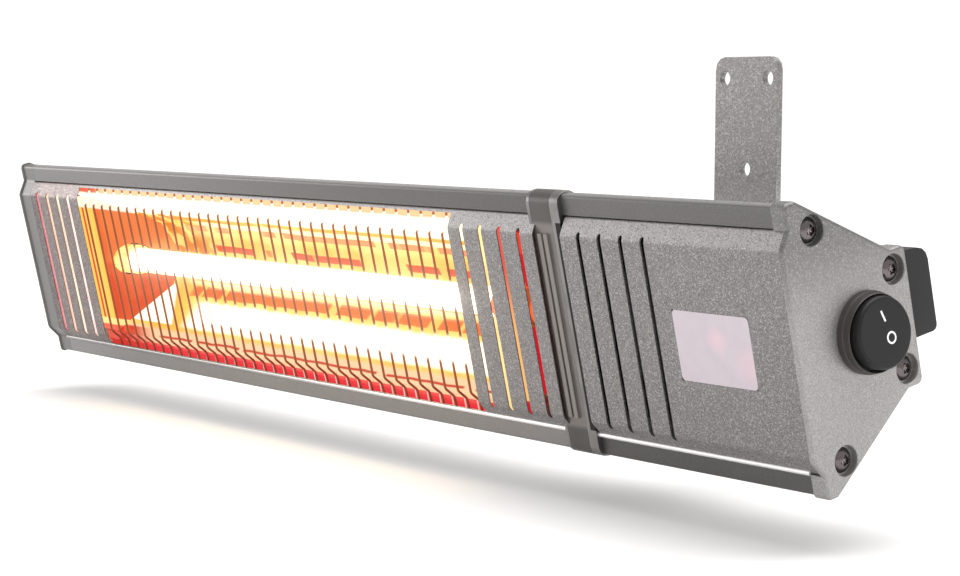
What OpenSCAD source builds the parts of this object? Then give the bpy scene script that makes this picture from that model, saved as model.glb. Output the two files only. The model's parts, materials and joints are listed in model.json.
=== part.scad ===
// Electric bar heater for a wall: one glowing quartz lamp in a reflector, a control
// section with a rocker switch at the right end, and a tilting wall bracket.
// The heater is drawn in its own axes: x along it from the left cap, y back from the
// front plane, z up the face. placed() hangs it on the bracket's pivot, leaning down.
// The origin is on the wall, midway between the two upper holes of the wall plate.

/* [Heater body] */
// Length of the heater over both end caps
heater_len = 676; // [640:1:760]
// Height of the profile from lip to lip
profile_h = 120; // [118:0.5:123]
// Depth from the front plane to the back
profile_depth = 66; // [65:0.5:72]
// Lean of the face towards the floor, as hung
face_tilt = 13; // [8:1:20]
// Depth of the left end cap
left_cap_t = 14; // [10:0.5:16]
// Depth of the right end cap
right_cap_t = 8; // [6:0.5:10]
// Rounding round the outer edge of each end cap
cap_edge_r = 1.6; // [1:0.2:1.8]
// Thickness of the seal under each end cap
gasket_t = 1; // [0.6:0.1:2]
// How far caps and divider stand proud of the housings
cap_proud = 1; // [0.6:0.1:1.4]
// Wall of the two housings
shell_wall = 2; // [1.6:0.1:2.2]

/* [Profile] */
// Height of the flat front between its two bends
front_flat_h = 85; // [83:0.5:87]
// Set-back of the lips behind the front plane
lip_setback = 5; // [4.5:0.1:5.5]
// Height of each lip
lip_h = 10; // [9.5:0.5:10.5]
// Depth at which the lips end and the sides start to slope
lip_depth = 11; // [10:0.5:12]
// Depth at which the slopes meet the flats of the back
slope_end = 57.5; // [57:0.5:60]
// Height of the back
back_h = 58; // [57:0.5:61]

/* [Divider] */
// Distance from the middle of the divider to the right end of the heater
control_section = 152.5; // [144:0.5:165]
// Width of the dark band
band_w = 14; // [12:1:18]
// Set-back of the front of band and flanges behind the front plane
divider_setback = 3.5; // [3:0.1:4]
// Width of the solid rim of the band
band_rim = 6; // [4:0.5:7]
// Thickness of the flange on the heating side
left_flange_t = 2; // [1:0.5:3]
// Thickness of the flange on the control side
right_flange_t = 6; // [2:0.5:8]
// Width of each ridge on the face of the band
ridge_w = 2.8; // [1:0.2:4]
// Distance between the two ridges
ridge_pitch = 4.2; // [4.2:0.2:6]
// Height of the ridges
ridge_len = 84; // [40:2:84]
// How far the ridges stand out
ridge_out = 1.2; // [0.4:0.2:2]

/* [Front panels] */
// Thickness of the panels
panel_t = 1; // [0.8:0.1:1.2]
// Left edge of the window
window_x = 77; // [74:1:84]
// Distance from the right edge of the window to the middle of the divider
window_right = 69; // [60:0.5:110]
// Height of the window and of its welded guard wires
window_h = 96; // [94:0.5:96.5]
// Number of guard wires
wire_count = 36; // [20:1:44]
// Distance from the left end of the window to the first guard wire
wire_from = 9; // [3:0.5:10]
// Distance from the last guard wire to the right end of the window
wire_to = 6; // [3:0.5:10]
// Thickness of a guard wire
wire_t = 1.4; // [1.2:0.1:2]
// Width of the vertical slots
slot_w = 3.2; // [2:0.2:5]
// Height of the vertical slots
slot_h = 88; // [60:2:90]
// Slots on each side of the window
window_slots = 4; // [2:1:4]
// Distance from the window to the nearest slot on its left
left_slot_from = 12.4; // [8:0.2:16]
// Distance from the left end of the panel to its first slot
left_slot_end = 8.8; // [8:0.2:20]
// Distance from the window to the nearest slot on its right
right_slot_from = 10.2; // [6:0.2:14]
// Distance from the last slot to the right end of the panel
right_slot_end = 6.8; // [3:0.1:8]
// Slots in the control panel
control_slots = 4; // [2:1:4]
// Distance from the left end of the control panel to its first slot
control_slot_from = 13.5; // [6:0.5:14]
// Distance from slot to slot in the control panel
slot_pitch = 14; // [10:0.1:14.5]
// Width of the display opening
display_w = 45.6; // [30:0.2:50]
// Height of the display opening
display_h = 30.4; // [20:0.2:40]
// Height of its middle above the middle of the panel
display_z = -0.8; // [-4:0.2:4]
// Middle of the display opening, from the right end of the heater
display_from_end = 49; // [46:0.5:50]

/* [Fasteners of the body] */
// Depth of the front cap screws
front_screw_y = 17.5; // [17:0.5:18]
// Distance of the front cap screws below the top of the lips
front_screw_drop = 13.2; // [12.8:0.1:13.5]
// Depth of the rear cap screws
rear_screw_y = 57.8; // [57.5:0.1:58.2]
// Height of the rear cap screws from the middle
rear_screw_z = 20.6; // [20:0.1:21]
// Diameter of the recess round each cap screw
recess_d = 12.4; // [11.8:0.2:13]
// Depth of that recess
recess_depth = 3.2; // [2:0.2:4]
// Diameter of the cap screw heads
cap_head_d = 10.4; // [8:0.2:11]
// Height of the cap screw heads
cap_head_h = 2.8; // [2:0.1:3.2]
// Diameter of the cap screw shanks
cap_shank_d = 4.2; // [3:0.1:5]
// Length of the cap screw shanks
cap_shank_len = 20; // [16:1:30]
// Diameter of the screw bosses in the housings
boss_d = 12; // [11.6:0.1:12.4]

/* [Reflector and lamp] */
// Depth of the crease along the middle of the reflector
reflector_back = 45.5; // [44:0.5:48]
// Half height of the reflector at its front
reflector_front_z = 42; // [41:0.25:42.5]
// Depth of the two outer creases of the reflector
crease_y = 39.5; // [36:0.5:42]
// Half height of the reflector at its outer creases
crease_z = 19; // [16:0.5:22]
// Lean of the reflector's end walls
wall_lean = 41; // [20:1:42]
// Width of the flat flange in front of each end wall
end_flange_w = 17; // [12:0.5:18]
// Sheet thickness of reflector and heat shield
reflector_t = 0.8; // [0.5:0.1:0.9]
// Distance from the left end of the window to the front of the reflector wall
left_wall_out = 1; // [1:0.5:20]
// Distance from the right end of the window to the front of the reflector wall
right_wall_out = 22.5; // [14:0.5:23]
// Length of reflector beyond its end walls
reflector_over = 12; // [9:1:12]
// Depth of the lamp
lamp_y = 24; // [20:0.5:26]
// Diameter of the quartz tube
tube_d = 14; // [12:0.5:16]
// Wall of the quartz tube
tube_wall = 1; // [0.8:0.1:1.4]
// Diameter of the ceramic lamp ends
base_d = 17; // [16:0.5:20]
// Length of the ceramic lamp ends
base_len = 32; // [30:1:34]
// How far a lamp end reaches into the reflector
base_inside = 7; // [7:0.5:10]
// Depth of the socket that holds the tube
socket_depth = 8; // [5:0.5:10]
// Curls of the filament
curls = 60; // [40:1:70]
// Radius of the filament curls at the wire's middle
curl_r = 3.6; // [2.5:0.1:4]
// Diameter of the filament wire
filament_d = 1.6; // [1:0.1:2]
// Diameter of the lamp leads
lead_d = 3; // [2:0.2:4]

/* [Controls] */
// Depth of the board behind the front plane
board_y = 13; // [12:0.5:15]
// Length of the board
board_len = 100; // [90:2:102]
// Height of the board
board_h = 64; // [50:1:70]
// Thickness of the board
board_t = 1.6; // [1.2:0.1:2.4]
// Diameter of the board pillars
pillar_d = 6; // [4:0.5:7]
// Depth of the middle of the switch
switch_y = 38.5; // [36:0.5:40]
// Diameter of the switch flange
flange_d = 33.5; // [32.5:0.5:36]
// Thickness of the switch flange
flange_t = 3; // [2.5:0.5:4]
// Diameter of the collar on the flange
collar_d = 32; // [31.6:0.1:32.4]
// Height of the collar above the cap
collar_h = 6; // [5:0.5:7]
// Diameter of the rocker
rocker_d = 29.2; // [28:0.2:29.4]
// Height of the rocker's face above the cap
rocker_top = 10.4; // [9:0.2:12]
// Diameter of the switch body behind the cap
switch_body_d = 25.6; // [22:0.2:27]
// Length of the switch body
switch_body_len = 24; // [18:1:30]
// Diameter of the rocker's pin
rocker_pin_d = 2.4; // [2:0.1:3]
// Rock of the switch to each side of level
rock = 5; // [2:0.5:6]

/* [Connection box] */
// Length of the box on the back
box_len = 70; // [66:1:90]
// Distance from its right side to the right end of the heater
box_inset = 2; // [0:0.5:4]
// Depth of the box
box_depth = 13.4; // [12:0.2:16]
// Top edge of the box above the middle
box_top = 26; // [25:0.5:28]
// Bottom edge of the box below the middle
box_bottom = 10.6; // [10:0.2:14]
// Wall of the box
box_wall = 2; // [1.5:0.1:2.4]
// Diameter of the gland's thread
gland_d = 10; // [9.6:0.2:10.4]
// Diameter of the gland's cable bore
gland_bore = 8; // [5:0.2:8.4]
// Width across the corners of the gland's nut
gland_nut_d = 14.4; // [13:0.2:15]

/* [Wall bracket] */
// Width of the wall plate
plate_w = 42; // [40:0.5:46]
// Length of the wall plate
plate_h = 127; // [122:1:160]
// Thickness of the wall plate
plate_t = 3.2; // [2:0.1:4]
// Corner radius of the wall plate
plate_corner_r = 6; // [3:0.5:8]
// Diameter of the wall screw holes
wall_hole_d = 6.8; // [5:0.1:8]
// Distance between the two upper holes
wall_hole_pitch = 29; // [24:0.5:30]
// Distance from the upper holes to the top edge
hole_margin = 10; // [8:0.5:14]
// Distance from the upper holes down to the third one
third_hole_drop = 42; // [30:1:50]
// Distance from the upper holes down to the pivot
pivot_drop = 92; // [84:1:94]
// Distance from the wall to the pivot
pivot_reach = 35; // [32:0.5:40]
// Distance from the heater's back to the pivot
pivot_behind = 16; // [14:0.5:18]
// Diameter of the pivot bolt
pivot_d = 8; // [6:0.5:8]
// Sheet thickness of fork and tilt bracket
ear_t = 3; // [2:0.5:3.5]
// Radius of the rounded ends of the ears
ear_r = 10; // [8:0.5:11]
// Width of the fork over its ears
fork_w = 34; // [30:0.5:34]
// Gap between the ears of the fork and of the tilt bracket
ear_gap = 1; // [0.6:0.1:1.5]
// Height of the fork's base
fork_h = 36; // [34:1:44]
// Height of the tilt bracket's base
tilt_base_h = 44; // [40:1:50]
// Radial clearance of the pivot bolt and of the rocker's pin
running_gap = 0.05; // [0.02:0.01:0.1]
// Gap left where one piece slips into another
slip_gap = 0.1; // [0.05:0.05:0.3]

/* [Hidden] */
$fn = 48;
arc_steps = 3;
least_r = 1;
touch = 0.01;

// Stations along the heater
divider_x = heater_len - control_section;
left_housing_x = left_cap_t + gasket_t;
left_flange_x = divider_x - band_w / 2 - left_flange_t;
band_x = divider_x - band_w / 2;
right_flange_x = divider_x + band_w / 2;
control_x = right_flange_x + right_flange_t;
right_gasket_x = heater_len - right_cap_t - gasket_t;
right_cap_x = heater_len - right_cap_t;
heating_len = left_flange_x - left_housing_x;
control_len = right_gasket_x - control_x;

// Depths shared by the front pieces
lip_z = profile_h / 2 - lip_h;
lip_back = lip_setback + cap_proud + shell_wall;
tail_y = lip_back + slip_gap;
tail_z = profile_h / 2 - cap_proud - shell_wall - 2;
front_screw_z = profile_h / 2 - front_screw_drop;
neck_z = lip_z - 0.6;
panel_y = cap_proud;
panel_back = panel_y + panel_t;
housing_back = profile_depth - cap_proud;
inner_back = housing_back - shell_wall;
gasket_rim = cap_proud + shell_wall + 2;

// Window, lamp and reflector stations
window_w = divider_x - window_right - window_x;
left_slot_x = left_housing_x + left_slot_end;
left_slot_step = (window_x - left_slot_from - left_slot_x) / (window_slots - 1);
right_slot_x = window_x + window_w + right_slot_from;
right_slot_step = (left_flange_x - right_slot_end - right_slot_x) / (window_slots - 1);
reflector_y = tail_y + panel_t;
left_wall_x = window_x - left_wall_out;
right_wall_x = window_x + window_w + right_wall_out;
lamp_mid = (left_wall_x + right_wall_x) / 2;
wall_at_lamp = (lamp_y - reflector_y) * tan(wall_lean);
left_base_end = left_wall_x + wall_at_lamp + base_inside;
right_base_end = 2 * lamp_mid - left_base_end;
left_base_x = left_base_end - base_len;
tube_start = left_base_end - socket_depth;
tube_end = right_base_end + socket_depth;
base_hole_d = base_d + 2;
stud_reach = 12;
shield_y = rear_screw_y - boss_d / 2 - reflector_t - slip_gap;
lead_run_y = inner_back - 9;
lead_run_z = 5;
lead_turn = 8;
bend_d = 0.3;

// Controls
display_x = heater_len - display_from_end;
window_step = 1.4;
module_h = 8;
module_w = 30;
board_x = display_x - 22;
board_mid_z = 0;
pillar_dx = board_len / 2 - 3.5;
pillar_dz = board_h / 2 - 5;
block_x = control_x + 19;
block_len = 34;
block_h = 20;
block_depth = 14;
pin_x = heater_len + 2.6;
collar_bore_d = rocker_d + 1.4;
rocker_bottom = 1.9;
blade_len = 9;

// Connection box
seal_t = cap_proud + 0.3;
box_y = housing_back + seal_t;
box_back = box_y + box_depth;
box_x = heater_len - box_inset - box_len;
box_screw_xs = [box_x + 7, right_gasket_x - 8];
box_screw_zs = [12.4, -5.6];
box_head_d = 6.4;
box_head_h = 2.2;
box_shank_d = 3.4;
gland_x = box_x + 28;
gland_y = box_y + box_depth / 2 + 0.6;
gland_flange_h = 4;
gland_thread_h = 7;
gland_nut_h = 11;

// Bracket
fork_base_y = -plate_t - ear_t;
pivot_y = profile_depth + pivot_behind;
tilt_outer_w = fork_w + 2 * ear_gap + 2 * ear_t;
pad_w = 8;
bracket_screw_dx = tilt_outer_w / 2 + 4.5;
bracket_screw_dz = 9;
tilt_base_w = 2 * bracket_screw_dx + 10;
tie_head_d = 8.4;
tie_head_h = 3;
tie_shank_d = 4.8;
tie_nut_d = 9.2;
tie_nut_h = 4;
pivot_head_d = 14.4;
pivot_head_h = 5.3;
washer_t = 1.2;
friction_washer_t = ear_gap - 0.2;

// Plane geometry: the profile is a closed path, counter-clockwise in (y, z)
function unit(v) = v / norm(v);
function left_of(v) = [-v[1], v[0]];
function turned(v, angle) = [
    v[0] * cos(angle) - v[1] * sin(angle),
    v[0] * sin(angle) + v[1] * cos(angle)
];
function reversed(points) = [for (i = [len(points) - 1:-1:0]) points[i]];

// A point moved so that both edges that meet there lie d to their left
function shifted(before, p, after, d) =
    let (n1 = left_of(unit(p - before)))
    let (n2 = left_of(unit(after - p)))
    p + (n1 + n2) * d / (1 + n1 * n2);
function inset(points, d) = [
    for (i = [0:len(points) - 1])
        shifted(points[(i + len(points) - 1) % len(points)], points[i],
                points[(i + 1) % len(points)], d)
];

// A corner swapped for the points of an arc that touches both edges
function arc_corner(before, p, after, r) =
    let (a = unit(before - p))
    let (b = unit(after - p))
    let (half = acos(a * b) / 2)
    let (middle = p + unit(a + b) * r / sin(half))
    let (first = p + a * r / tan(half) - middle)
    let (turn = (cross(a, b) < 0 ? 1 : -1) * (180 - 2 * half))
    [for (i = [0:arc_steps]) middle + turned(first, turn * i / arc_steps)];
function rounded(points, radii) = [
    for (i = [0:len(points) - 1])
        each arc_corner(points[(i + len(points) - 1) % len(points)], points[i],
                        points[(i + 1) % len(points)], radii[i])
];

// A bent sheet: the open path is its front, t is its thickness behind it
function sheet(points, t) =
    let (last = len(points) - 1)
    let (back = [
        for (i = [0:last])
            i == 0 ? points[0] - left_of(unit(points[1] - points[0])) * t :
            i == last ? points[last] - left_of(unit(points[last] - points[last - 1])) * t :
            shifted(points[i - 1], points[i], points[i + 1], -t)
    ])
    concat(reversed(points), back);

// Corners of the body's outline; a concave corner has a negative radius
front_z = front_flat_h / 2;
outline = [
    [0, -front_z], [lip_setback, -lip_z], [lip_setback, -profile_h / 2],
    [lip_depth, -profile_h / 2], [slope_end, -back_h / 2], [profile_depth, -back_h / 2],
    [profile_depth, back_h / 2], [slope_end, back_h / 2], [lip_depth, profile_h / 2],
    [lip_setback, profile_h / 2], [lip_setback, lip_z], [0, front_z]
];
outline_r = [4, -2, 2.6, 2, 2, 3, 3, 2, 2, 2.6, -2, 4];
function eased(r, d) = r > 0 ? max(r - d, least_r) : d - r;
function body_path(d) = rounded(inset(outline, d), [for (r = outline_r) eased(r, d)]);
divider_corners = concat(
    [[divider_setback, -profile_h / 2]],
    [for (i = [3:8]) outline[i]],
    [[divider_setback, profile_h / 2]]
);
divider_path = rounded(divider_corners, [5, 2, 2, 3, 3, 2, 2, 5]);

// Opening through divider and seals: slopes carried on to the front, drawn in by d
front_corner_z = profile_h / 2
    + (lip_depth - lip_setback) * (profile_h - back_h) / 2 / (slope_end - lip_depth);
opening = [
    [lip_setback, -front_corner_z], [slope_end, -back_h / 2], [profile_depth, -back_h / 2],
    [profile_depth, back_h / 2], [slope_end, back_h / 2], [lip_setback, front_corner_z]
];

// Front path of a panel, from the lower tail behind the lip to the upper one
function panel_half(z_sign) = [
    [tail_y, z_sign * tail_z], [tail_y, z_sign * neck_z],
    [lip_setback + cap_proud * 0.6, z_sign * neck_z], [panel_y, z_sign * (front_z - 0.4)]
];
panel_path = concat(panel_half(-1), reversed(panel_half(1)));
wire_path = [for (i = [1:len(panel_path) - 2]) panel_path[i]];
reflector_path = [
    [reflector_y, -tail_z], [reflector_y, -reflector_front_z], [crease_y, -crease_z],
    [reflector_back, 0], [crease_y, crease_z], [reflector_y, reflector_front_z],
    [reflector_y, tail_z]
];
screw_places = [
    [front_screw_y, front_screw_z], [front_screw_y, -front_screw_z],
    [rear_screw_y, rear_screw_z], [rear_screw_y, -rear_screw_z]
];

// Filament: radius eases from the axis to the curl over the first and last turn
rings_per_curl = 8;
filament_sides = 6;
filament_steps = curls * rings_per_curl;
filament_from = tube_start + filament_d;
filament_to = tube_end - filament_d;
curl_pitch = (filament_to - filament_from) / curls;
function curl_radius(i) =
    curl_r * min(1, i / rings_per_curl, (filament_steps - i) / rings_per_curl);
function curl_angle(i) = 360 * i / rings_per_curl;
function curl_side(i) = [0, cos(curl_angle(i)), sin(curl_angle(i))];
function curl_point(i) =
    [filament_from + curl_pitch * i / rings_per_curl, lamp_y, 0]
    + curl_side(i) * curl_radius(i);
filament_points = concat(
    [[tube_start, lamp_y, 0]],
    [for (i = [0:filament_steps]) curl_point(i)],
    [[tube_end, lamp_y, 0]]
);
filament_sidesteps = concat(
    [curl_side(0)], [for (i = [0:filament_steps]) curl_side(i)], [curl_side(filament_steps)]
);
filament_gap = min([
    for (i = [0:rings_per_curl * 3])
        for (j = [i + rings_per_curl / 2:rings_per_curl * 5])
            norm(filament_points[i] - filament_points[j])
]) - filament_d;
echo(least_gap_between_filament_turns = filament_gap);

// Placing and shaping helpers
module placed() {
    translate([-divider_x, -pivot_reach, -pivot_drop])
        rotate([face_tilt, 0, 0])
            translate([0, -pivot_y, 0])
                children();
}

module along_x(x, len) {
    translate([x, 0, 0])
        rotate([90, 0, 90])
            linear_extrude(len)
                children();
}

module rod_x(x, len, y, z, d) {
    translate([x, y, z])
        rotate([0, 90, 0])
            cylinder(d = d, h = len);
}

module rod_y(x, y, len, z, d) {
    translate([x, y, z])
        rotate([-90, 0, 0])
            cylinder(d = d, h = len);
}

module rod_between(a, b, d) {
    step = b - a;
    translate(a)
        rotate([0, acos(step[2] / norm(step)), atan2(step[1], step[0])])
            cylinder(d = d, h = norm(step), $fn = 16);
}

// A wire of straight runs, with a ball a little thicker than the wire at each bend
module bent_wire(points, d) {
    for (i = [0:len(points) - 2])
        rod_between(points[i], points[i + 1], d);
    for (i = [1:len(points) - 2])
        translate(points[i])
            sphere(d = d + bend_d, $fn = 16);
}

module at_screws() {
    for (p = screw_places)
        translate([0, p[0], p[1]])
            children();
}

// A loft through rings that all have the same number of points
module lofted(rings) {
    n = len(rings[0]);
    points = [for (ring = rings) each ring];
    sides = [
        for (k = [0:len(rings) - 2])
            for (i = [0:n - 1])
                let (a = k * n + i)
                let (b = k * n + (i + 1) % n)
                each [[a, b, b + n], [a, b + n, a + n]]
    ];
    first_end = [for (i = [n - 1:-1:0]) i];
    last_end = [for (i = [0:n - 1]) (len(rings) - 1) * n + i];
    polyhedron(points, [for (face = concat([first_end], sides, [last_end])) reversed(face)]);
}

// A slab of the body's outline whose outer edge is rounded; x grows inwards
module edged_slab(t, r) {
    ring_list = concat(
        [for (a = [0:30:90]) [r * (1 - cos(a)), r * (1 - sin(a))]],
        [[t, 0]]
    );
    lofted([
        for (step = ring_list)
            [for (p = body_path(step[1])) [step[0], p[0], p[1]]]
    ]);
}

// Housings: drawn profiles, open at the front between the lips
module housing_shell(x, len) {
    difference() {
        union() {
            along_x(x, len)
                difference() {
                    polygon(body_path(cap_proud));
                    polygon(body_path(cap_proud + shell_wall));
                    translate([-1, -lip_z])
                        square([lip_back + 1 + touch, 2 * lip_z]);
                }
            at_screws()
                rod_x(x, len, 0, 0, boss_d);
        }
        at_screws()
            rod_x(x - 1, len + 2, 0, 0, cap_shank_d + 2 * slip_gap);
        for (side = [-1, 1])
            for (z_side = [-1, 1])
                rod_y(divider_x + side * bracket_screw_dx, inner_back - 1,
                      shell_wall + 2, z_side * bracket_screw_dz, tie_shank_d + 2 * slip_gap);
    }
}

module heating_housing() {
    color("#9c9a98")
        housing_shell(left_housing_x, heating_len);
}

module control_housing() {
    color("#9c9a98")
        difference() {
            housing_shell(control_x, control_len);
            at_box_screws()
                rod_y(0, inner_back - 1, shell_wall + 2, 0, box_shank_d + 2 * slip_gap);
            rod_y(gland_x, inner_back - 1, shell_wall + 2, box_screw_zs[0] - 9, gland_bore);
        }
}

// Front panels: bent sheet whose tails tuck behind the lips of the housing
module panel_sheet(x, len) {
    along_x(x, len)
        polygon(sheet(panel_path, panel_t));
}

module slot_cut(x) {
    straight = slot_h - slot_w;
    translate([x - slot_w / 2, -1, -straight / 2])
        cube([slot_w, tail_y, straight]);
    for (side = [-1, 1])
        rod_y(x, -1, tail_y, side * straight / 2, slot_w);
}

module heating_panel() {
    wire_pitch = (window_w - wire_from - wire_to) / (wire_count - 1);
    color("#8f8d8c") {
        difference() {
            panel_sheet(left_housing_x, heating_len);
            translate([window_x, -1, -window_h / 2])
                cube([window_w, tail_y, window_h]);
            for (i = [0:window_slots - 1]) {
                slot_cut(left_slot_x + i * left_slot_step);
                slot_cut(right_slot_x + i * right_slot_step);
            }
        }
        for (i = [0:wire_count - 1])
            along_x(window_x + wire_from + i * wire_pitch - wire_t / 2, wire_t)
                polygon(sheet(wire_path, wire_t));
    }
}

module control_panel() {
    color("#8f8d8c")
        difference() {
            panel_sheet(control_x, control_len);
            for (i = [0:control_slots - 1])
                slot_cut(control_x + control_slot_from + i * slot_pitch);
            translate([display_x - display_w / 2, -1, display_z - display_h / 2])
                cube([display_w, tail_y, display_h]);
        }
}

// End caps, their seals and screws
module cap_holes(x, len) {
    at_screws()
        rod_x(x - 1, len + 2, 0, 0, cap_shank_d + 2 * slip_gap);
}

module left_end_cap() {
    color("#a9a7a4")
        difference() {
            edged_slab(left_cap_t, cap_edge_r);
            cap_holes(0, left_cap_t);
            at_screws()
                rod_x(-1, recess_depth + 1, 0, 0, recess_d);
        }
}

module right_end_cap() {
    color("#a9a7a4")
        difference() {
            translate([heater_len, 0, 0])
                mirror([1, 0, 0])
                    edged_slab(right_cap_t, cap_edge_r);
            cap_holes(right_cap_x, right_cap_t);
            at_screws()
                rod_x(heater_len - recess_depth, recess_depth + 1, 0, 0, recess_d);
            rod_x(right_cap_x - 1, right_cap_t + 2, switch_y, 0, switch_body_d + 2 * slip_gap);
        }
}

module gasket(x) {
    color("#4a4846")
        difference() {
            union() {
                along_x(x, gasket_t)
                    difference() {
                        polygon(body_path(cap_proud + 0.4));
                        polygon(inset(opening, gasket_rim));
                    }
                at_screws()
                    rod_x(x, gasket_t, 0, 0, boss_d - 1);
            }
            at_screws()
                rod_x(x - 1, gasket_t + 2, 0, 0, cap_shank_d + 2 * slip_gap);
        }
}

module left_gasket() {
    gasket(left_cap_t);
}

module right_gasket() {
    gasket(right_gasket_x);
}

// Button-head screw: the head is a spherical cap with a six-lobed socket
module cap_screw() {
    head_r = cap_head_d / 2;
    dome_r = (head_r * head_r + cap_head_h * cap_head_h) / (2 * cap_head_h);
    difference() {
        intersection() {
            translate([dome_r - cap_head_h, 0, 0])
                sphere(r = dome_r);
            translate([-cap_head_h, 0, 0])
                rotate([0, 90, 0])
                    cylinder(r = head_r, h = cap_head_h);
        }
        for (a = [0:60:120])
            rotate([a, 0, 0])
                translate([-cap_head_h - 1, -2, -0.65])
                    cube([cap_head_h, 4, 1.3]);
    }
    rotate([0, 90, 0])
        cylinder(d = cap_shank_d, h = cap_shank_len);
}

module left_cap_screws() {
    color("#5a5252")
        at_screws()
            translate([recess_depth, 0, 0])
                cap_screw();
}

module right_cap_screws() {
    color("#5a5252")
        at_screws()
            translate([heater_len - recess_depth, 0, 0])
                mirror([1, 0, 0])
                    cap_screw();
}

// Divider: a dark ring between two metal flanges
module divider_band() {
    color("#3f3a38")
        difference() {
            union() {
                along_x(band_x, band_w)
                    polygon(divider_path);
                for (side = [-1, 1])
                    translate([divider_x + side * ridge_pitch / 2 - ridge_w / 2,
                               divider_setback - ridge_out, -ridge_len / 2])
                        cube([ridge_w, ridge_out + 1, ridge_len]);
            }
            along_x(band_x - 1, band_w + 2)
                polygon(inset(opening, band_rim));
            at_screws()
                rod_x(band_x - 1, band_w + 2, 0, 0, cap_shank_d + 2 * slip_gap);
        }
}

module divider_flange_left() {
    color("#b3b1ae")
        difference() {
            along_x(left_flange_x, left_flange_t)
                polygon(divider_path);
            at_screws()
                rod_x(left_flange_x - 1, left_flange_t + 2, 0, 0, cap_shank_d + 2 * slip_gap);
            rod_x(left_flange_x - 1, left_flange_t + 2, lead_run_y, lead_run_z, lead_d + 1);
            rod_x(left_flange_x - 1, left_flange_t + 2, lead_run_y, -lead_run_z, lead_d + 1);
        }
}

module divider_flange_right() {
    color("#b3b1ae")
        difference() {
            along_x(right_flange_x, right_flange_t)
                difference() {
                    polygon(divider_path);
                    polygon(inset(opening, band_rim + 2));
                }
            at_screws()
                rod_x(right_flange_x - 1, right_flange_t + 2, 0, 0, cap_shank_d + 2 * slip_gap);
        }
}

module joining_studs() {
    color("#c8c6c2")
        at_screws()
            rod_x(left_flange_x - stud_reach, control_x - left_flange_x + 2 * stud_reach, 0, 0,
                  cap_shank_d);
}

// Reflector: bright creased trough with two leaning, flanged end walls, and a shield
module reflector() {
    color("#e8b45a")
        along_x(left_wall_x - reflector_over, right_wall_x - left_wall_x + 2 * reflector_over)
            polygon(sheet(reflector_path, reflector_t));
}

module reflector_end() {
    lean_run = (reflector_back - reflector_y) * tan(wall_lean);
    wall_w = reflector_t / cos(wall_lean);
    flange_half = reflector_front_z - 1;
    color("#e0a050") {
        difference() {
            intersection() {
                along_x(left_wall_x - wall_w, lean_run + wall_w)
                    polygon([
                        [reflector_y + slip_gap, -reflector_front_z + slip_gap],
                        [crease_y - slip_gap, -crease_z + slip_gap],
                        [reflector_back - 2 * slip_gap, 0],
                        [crease_y - slip_gap, crease_z - slip_gap],
                        [reflector_y + slip_gap, reflector_front_z - slip_gap]
                    ]);
                translate([0, 0, -reflector_front_z])
                    linear_extrude(2 * reflector_front_z)
                        polygon([
                            [left_wall_x, reflector_y], [left_wall_x + lean_run, reflector_back],
                            [left_wall_x + lean_run - wall_w, reflector_back],
                            [left_wall_x - wall_w, reflector_y]
                        ]);
            }
            rod_x(left_wall_x - 2 * wall_w, lean_run + 4 * wall_w, lamp_y, 0, base_hole_d);
        }
        translate([left_wall_x - end_flange_w, reflector_y + slip_gap, -flange_half])
            cube([end_flange_w, reflector_t, 2 * flange_half]);
    }
}

module reflector_end_left() {
    reflector_end();
}

module reflector_end_right() {
    translate([2 * lamp_mid, 0, 0])
        mirror([1, 0, 0])
            reflector_end();
}

module heat_shield() {
    color("#b8b6b2")
        translate([left_wall_x - reflector_over, shield_y, -rear_screw_z - 3])
            cube([right_wall_x - left_wall_x + 2 * reflector_over, reflector_t,
                  2 * rear_screw_z + 6]);
}

// Lamp: quartz tube, filament, ceramic ends, clips and leads
module lamp_tube() {
    color("#ffd9a0", 0.5)
        difference() {
            rod_x(tube_start, tube_end - tube_start, lamp_y, 0, tube_d);
            rod_x(tube_start - 1, tube_end - tube_start + 2, lamp_y, 0, tube_d - 2 * tube_wall);
        }
}

module lamp_filament() {
    last = len(filament_points) - 1;
    color("#ffb030")
        lofted([
            for (i = [0:last])
                let (p = filament_points[i])
                let (along = unit(filament_points[min(i + 1, last)] - filament_points[max(i - 1, 0)]))
                let (side = filament_sidesteps[i])
                let (n = unit(side - along * (side * along)))
                let (b = cross(along, n))
                [for (k = [0:filament_sides - 1])
                    p + (n * cos(360 * k / filament_sides) + b * sin(360 * k / filament_sides))
                        * filament_d / 2]
        ]);
}

// A ceramic end drawn from its outer face at 0 towards the tube
module lamp_base() {
    difference() {
        rod_x(0, base_len, lamp_y, 0, base_d);
        rod_x(base_len - socket_depth, socket_depth + 1, lamp_y, 0, tube_d + 2 * slip_gap);
        rod_x(-1, base_len / 3 + 1, lamp_y, 0, lead_d + 2 * slip_gap);
    }
}

module lamp_base_left() {
    color("#efe9df")
        translate([left_base_x, 0, 0])
            lamp_base();
}

module lamp_base_right() {
    color("#efe9df")
        translate([2 * lamp_mid - left_base_x, 0, 0])
            mirror([1, 0, 0])
                lamp_base();
}

// A clip: ring round the lamp end, on a foot that is riveted to the reflector's back
module lamp_clip() {
    clip_t = 1.2;
    ring_d = base_d + 2 * slip_gap;
    clip_w = 7;
    clip_x = left_base_x + 2;
    foot_h = 8;
    web_y = lamp_y + ring_d / 2 + clip_t / 2;
    foot_back = reflector_back - slip_gap
        - foot_h / 2 * (reflector_back - crease_y) / crease_z;
    difference() {
        union() {
            rod_x(clip_x, clip_w, lamp_y, 0, ring_d + 2 * clip_t);
            translate([clip_x, web_y, -foot_h / 2])
                cube([clip_t, foot_back - web_y, foot_h]);
            translate([clip_x, foot_back - clip_t, -foot_h / 2])
                cube([clip_w, clip_t, foot_h]);
        }
        rod_x(clip_x - 1, clip_w + 2, lamp_y, 0, ring_d);
    }
}

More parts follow.
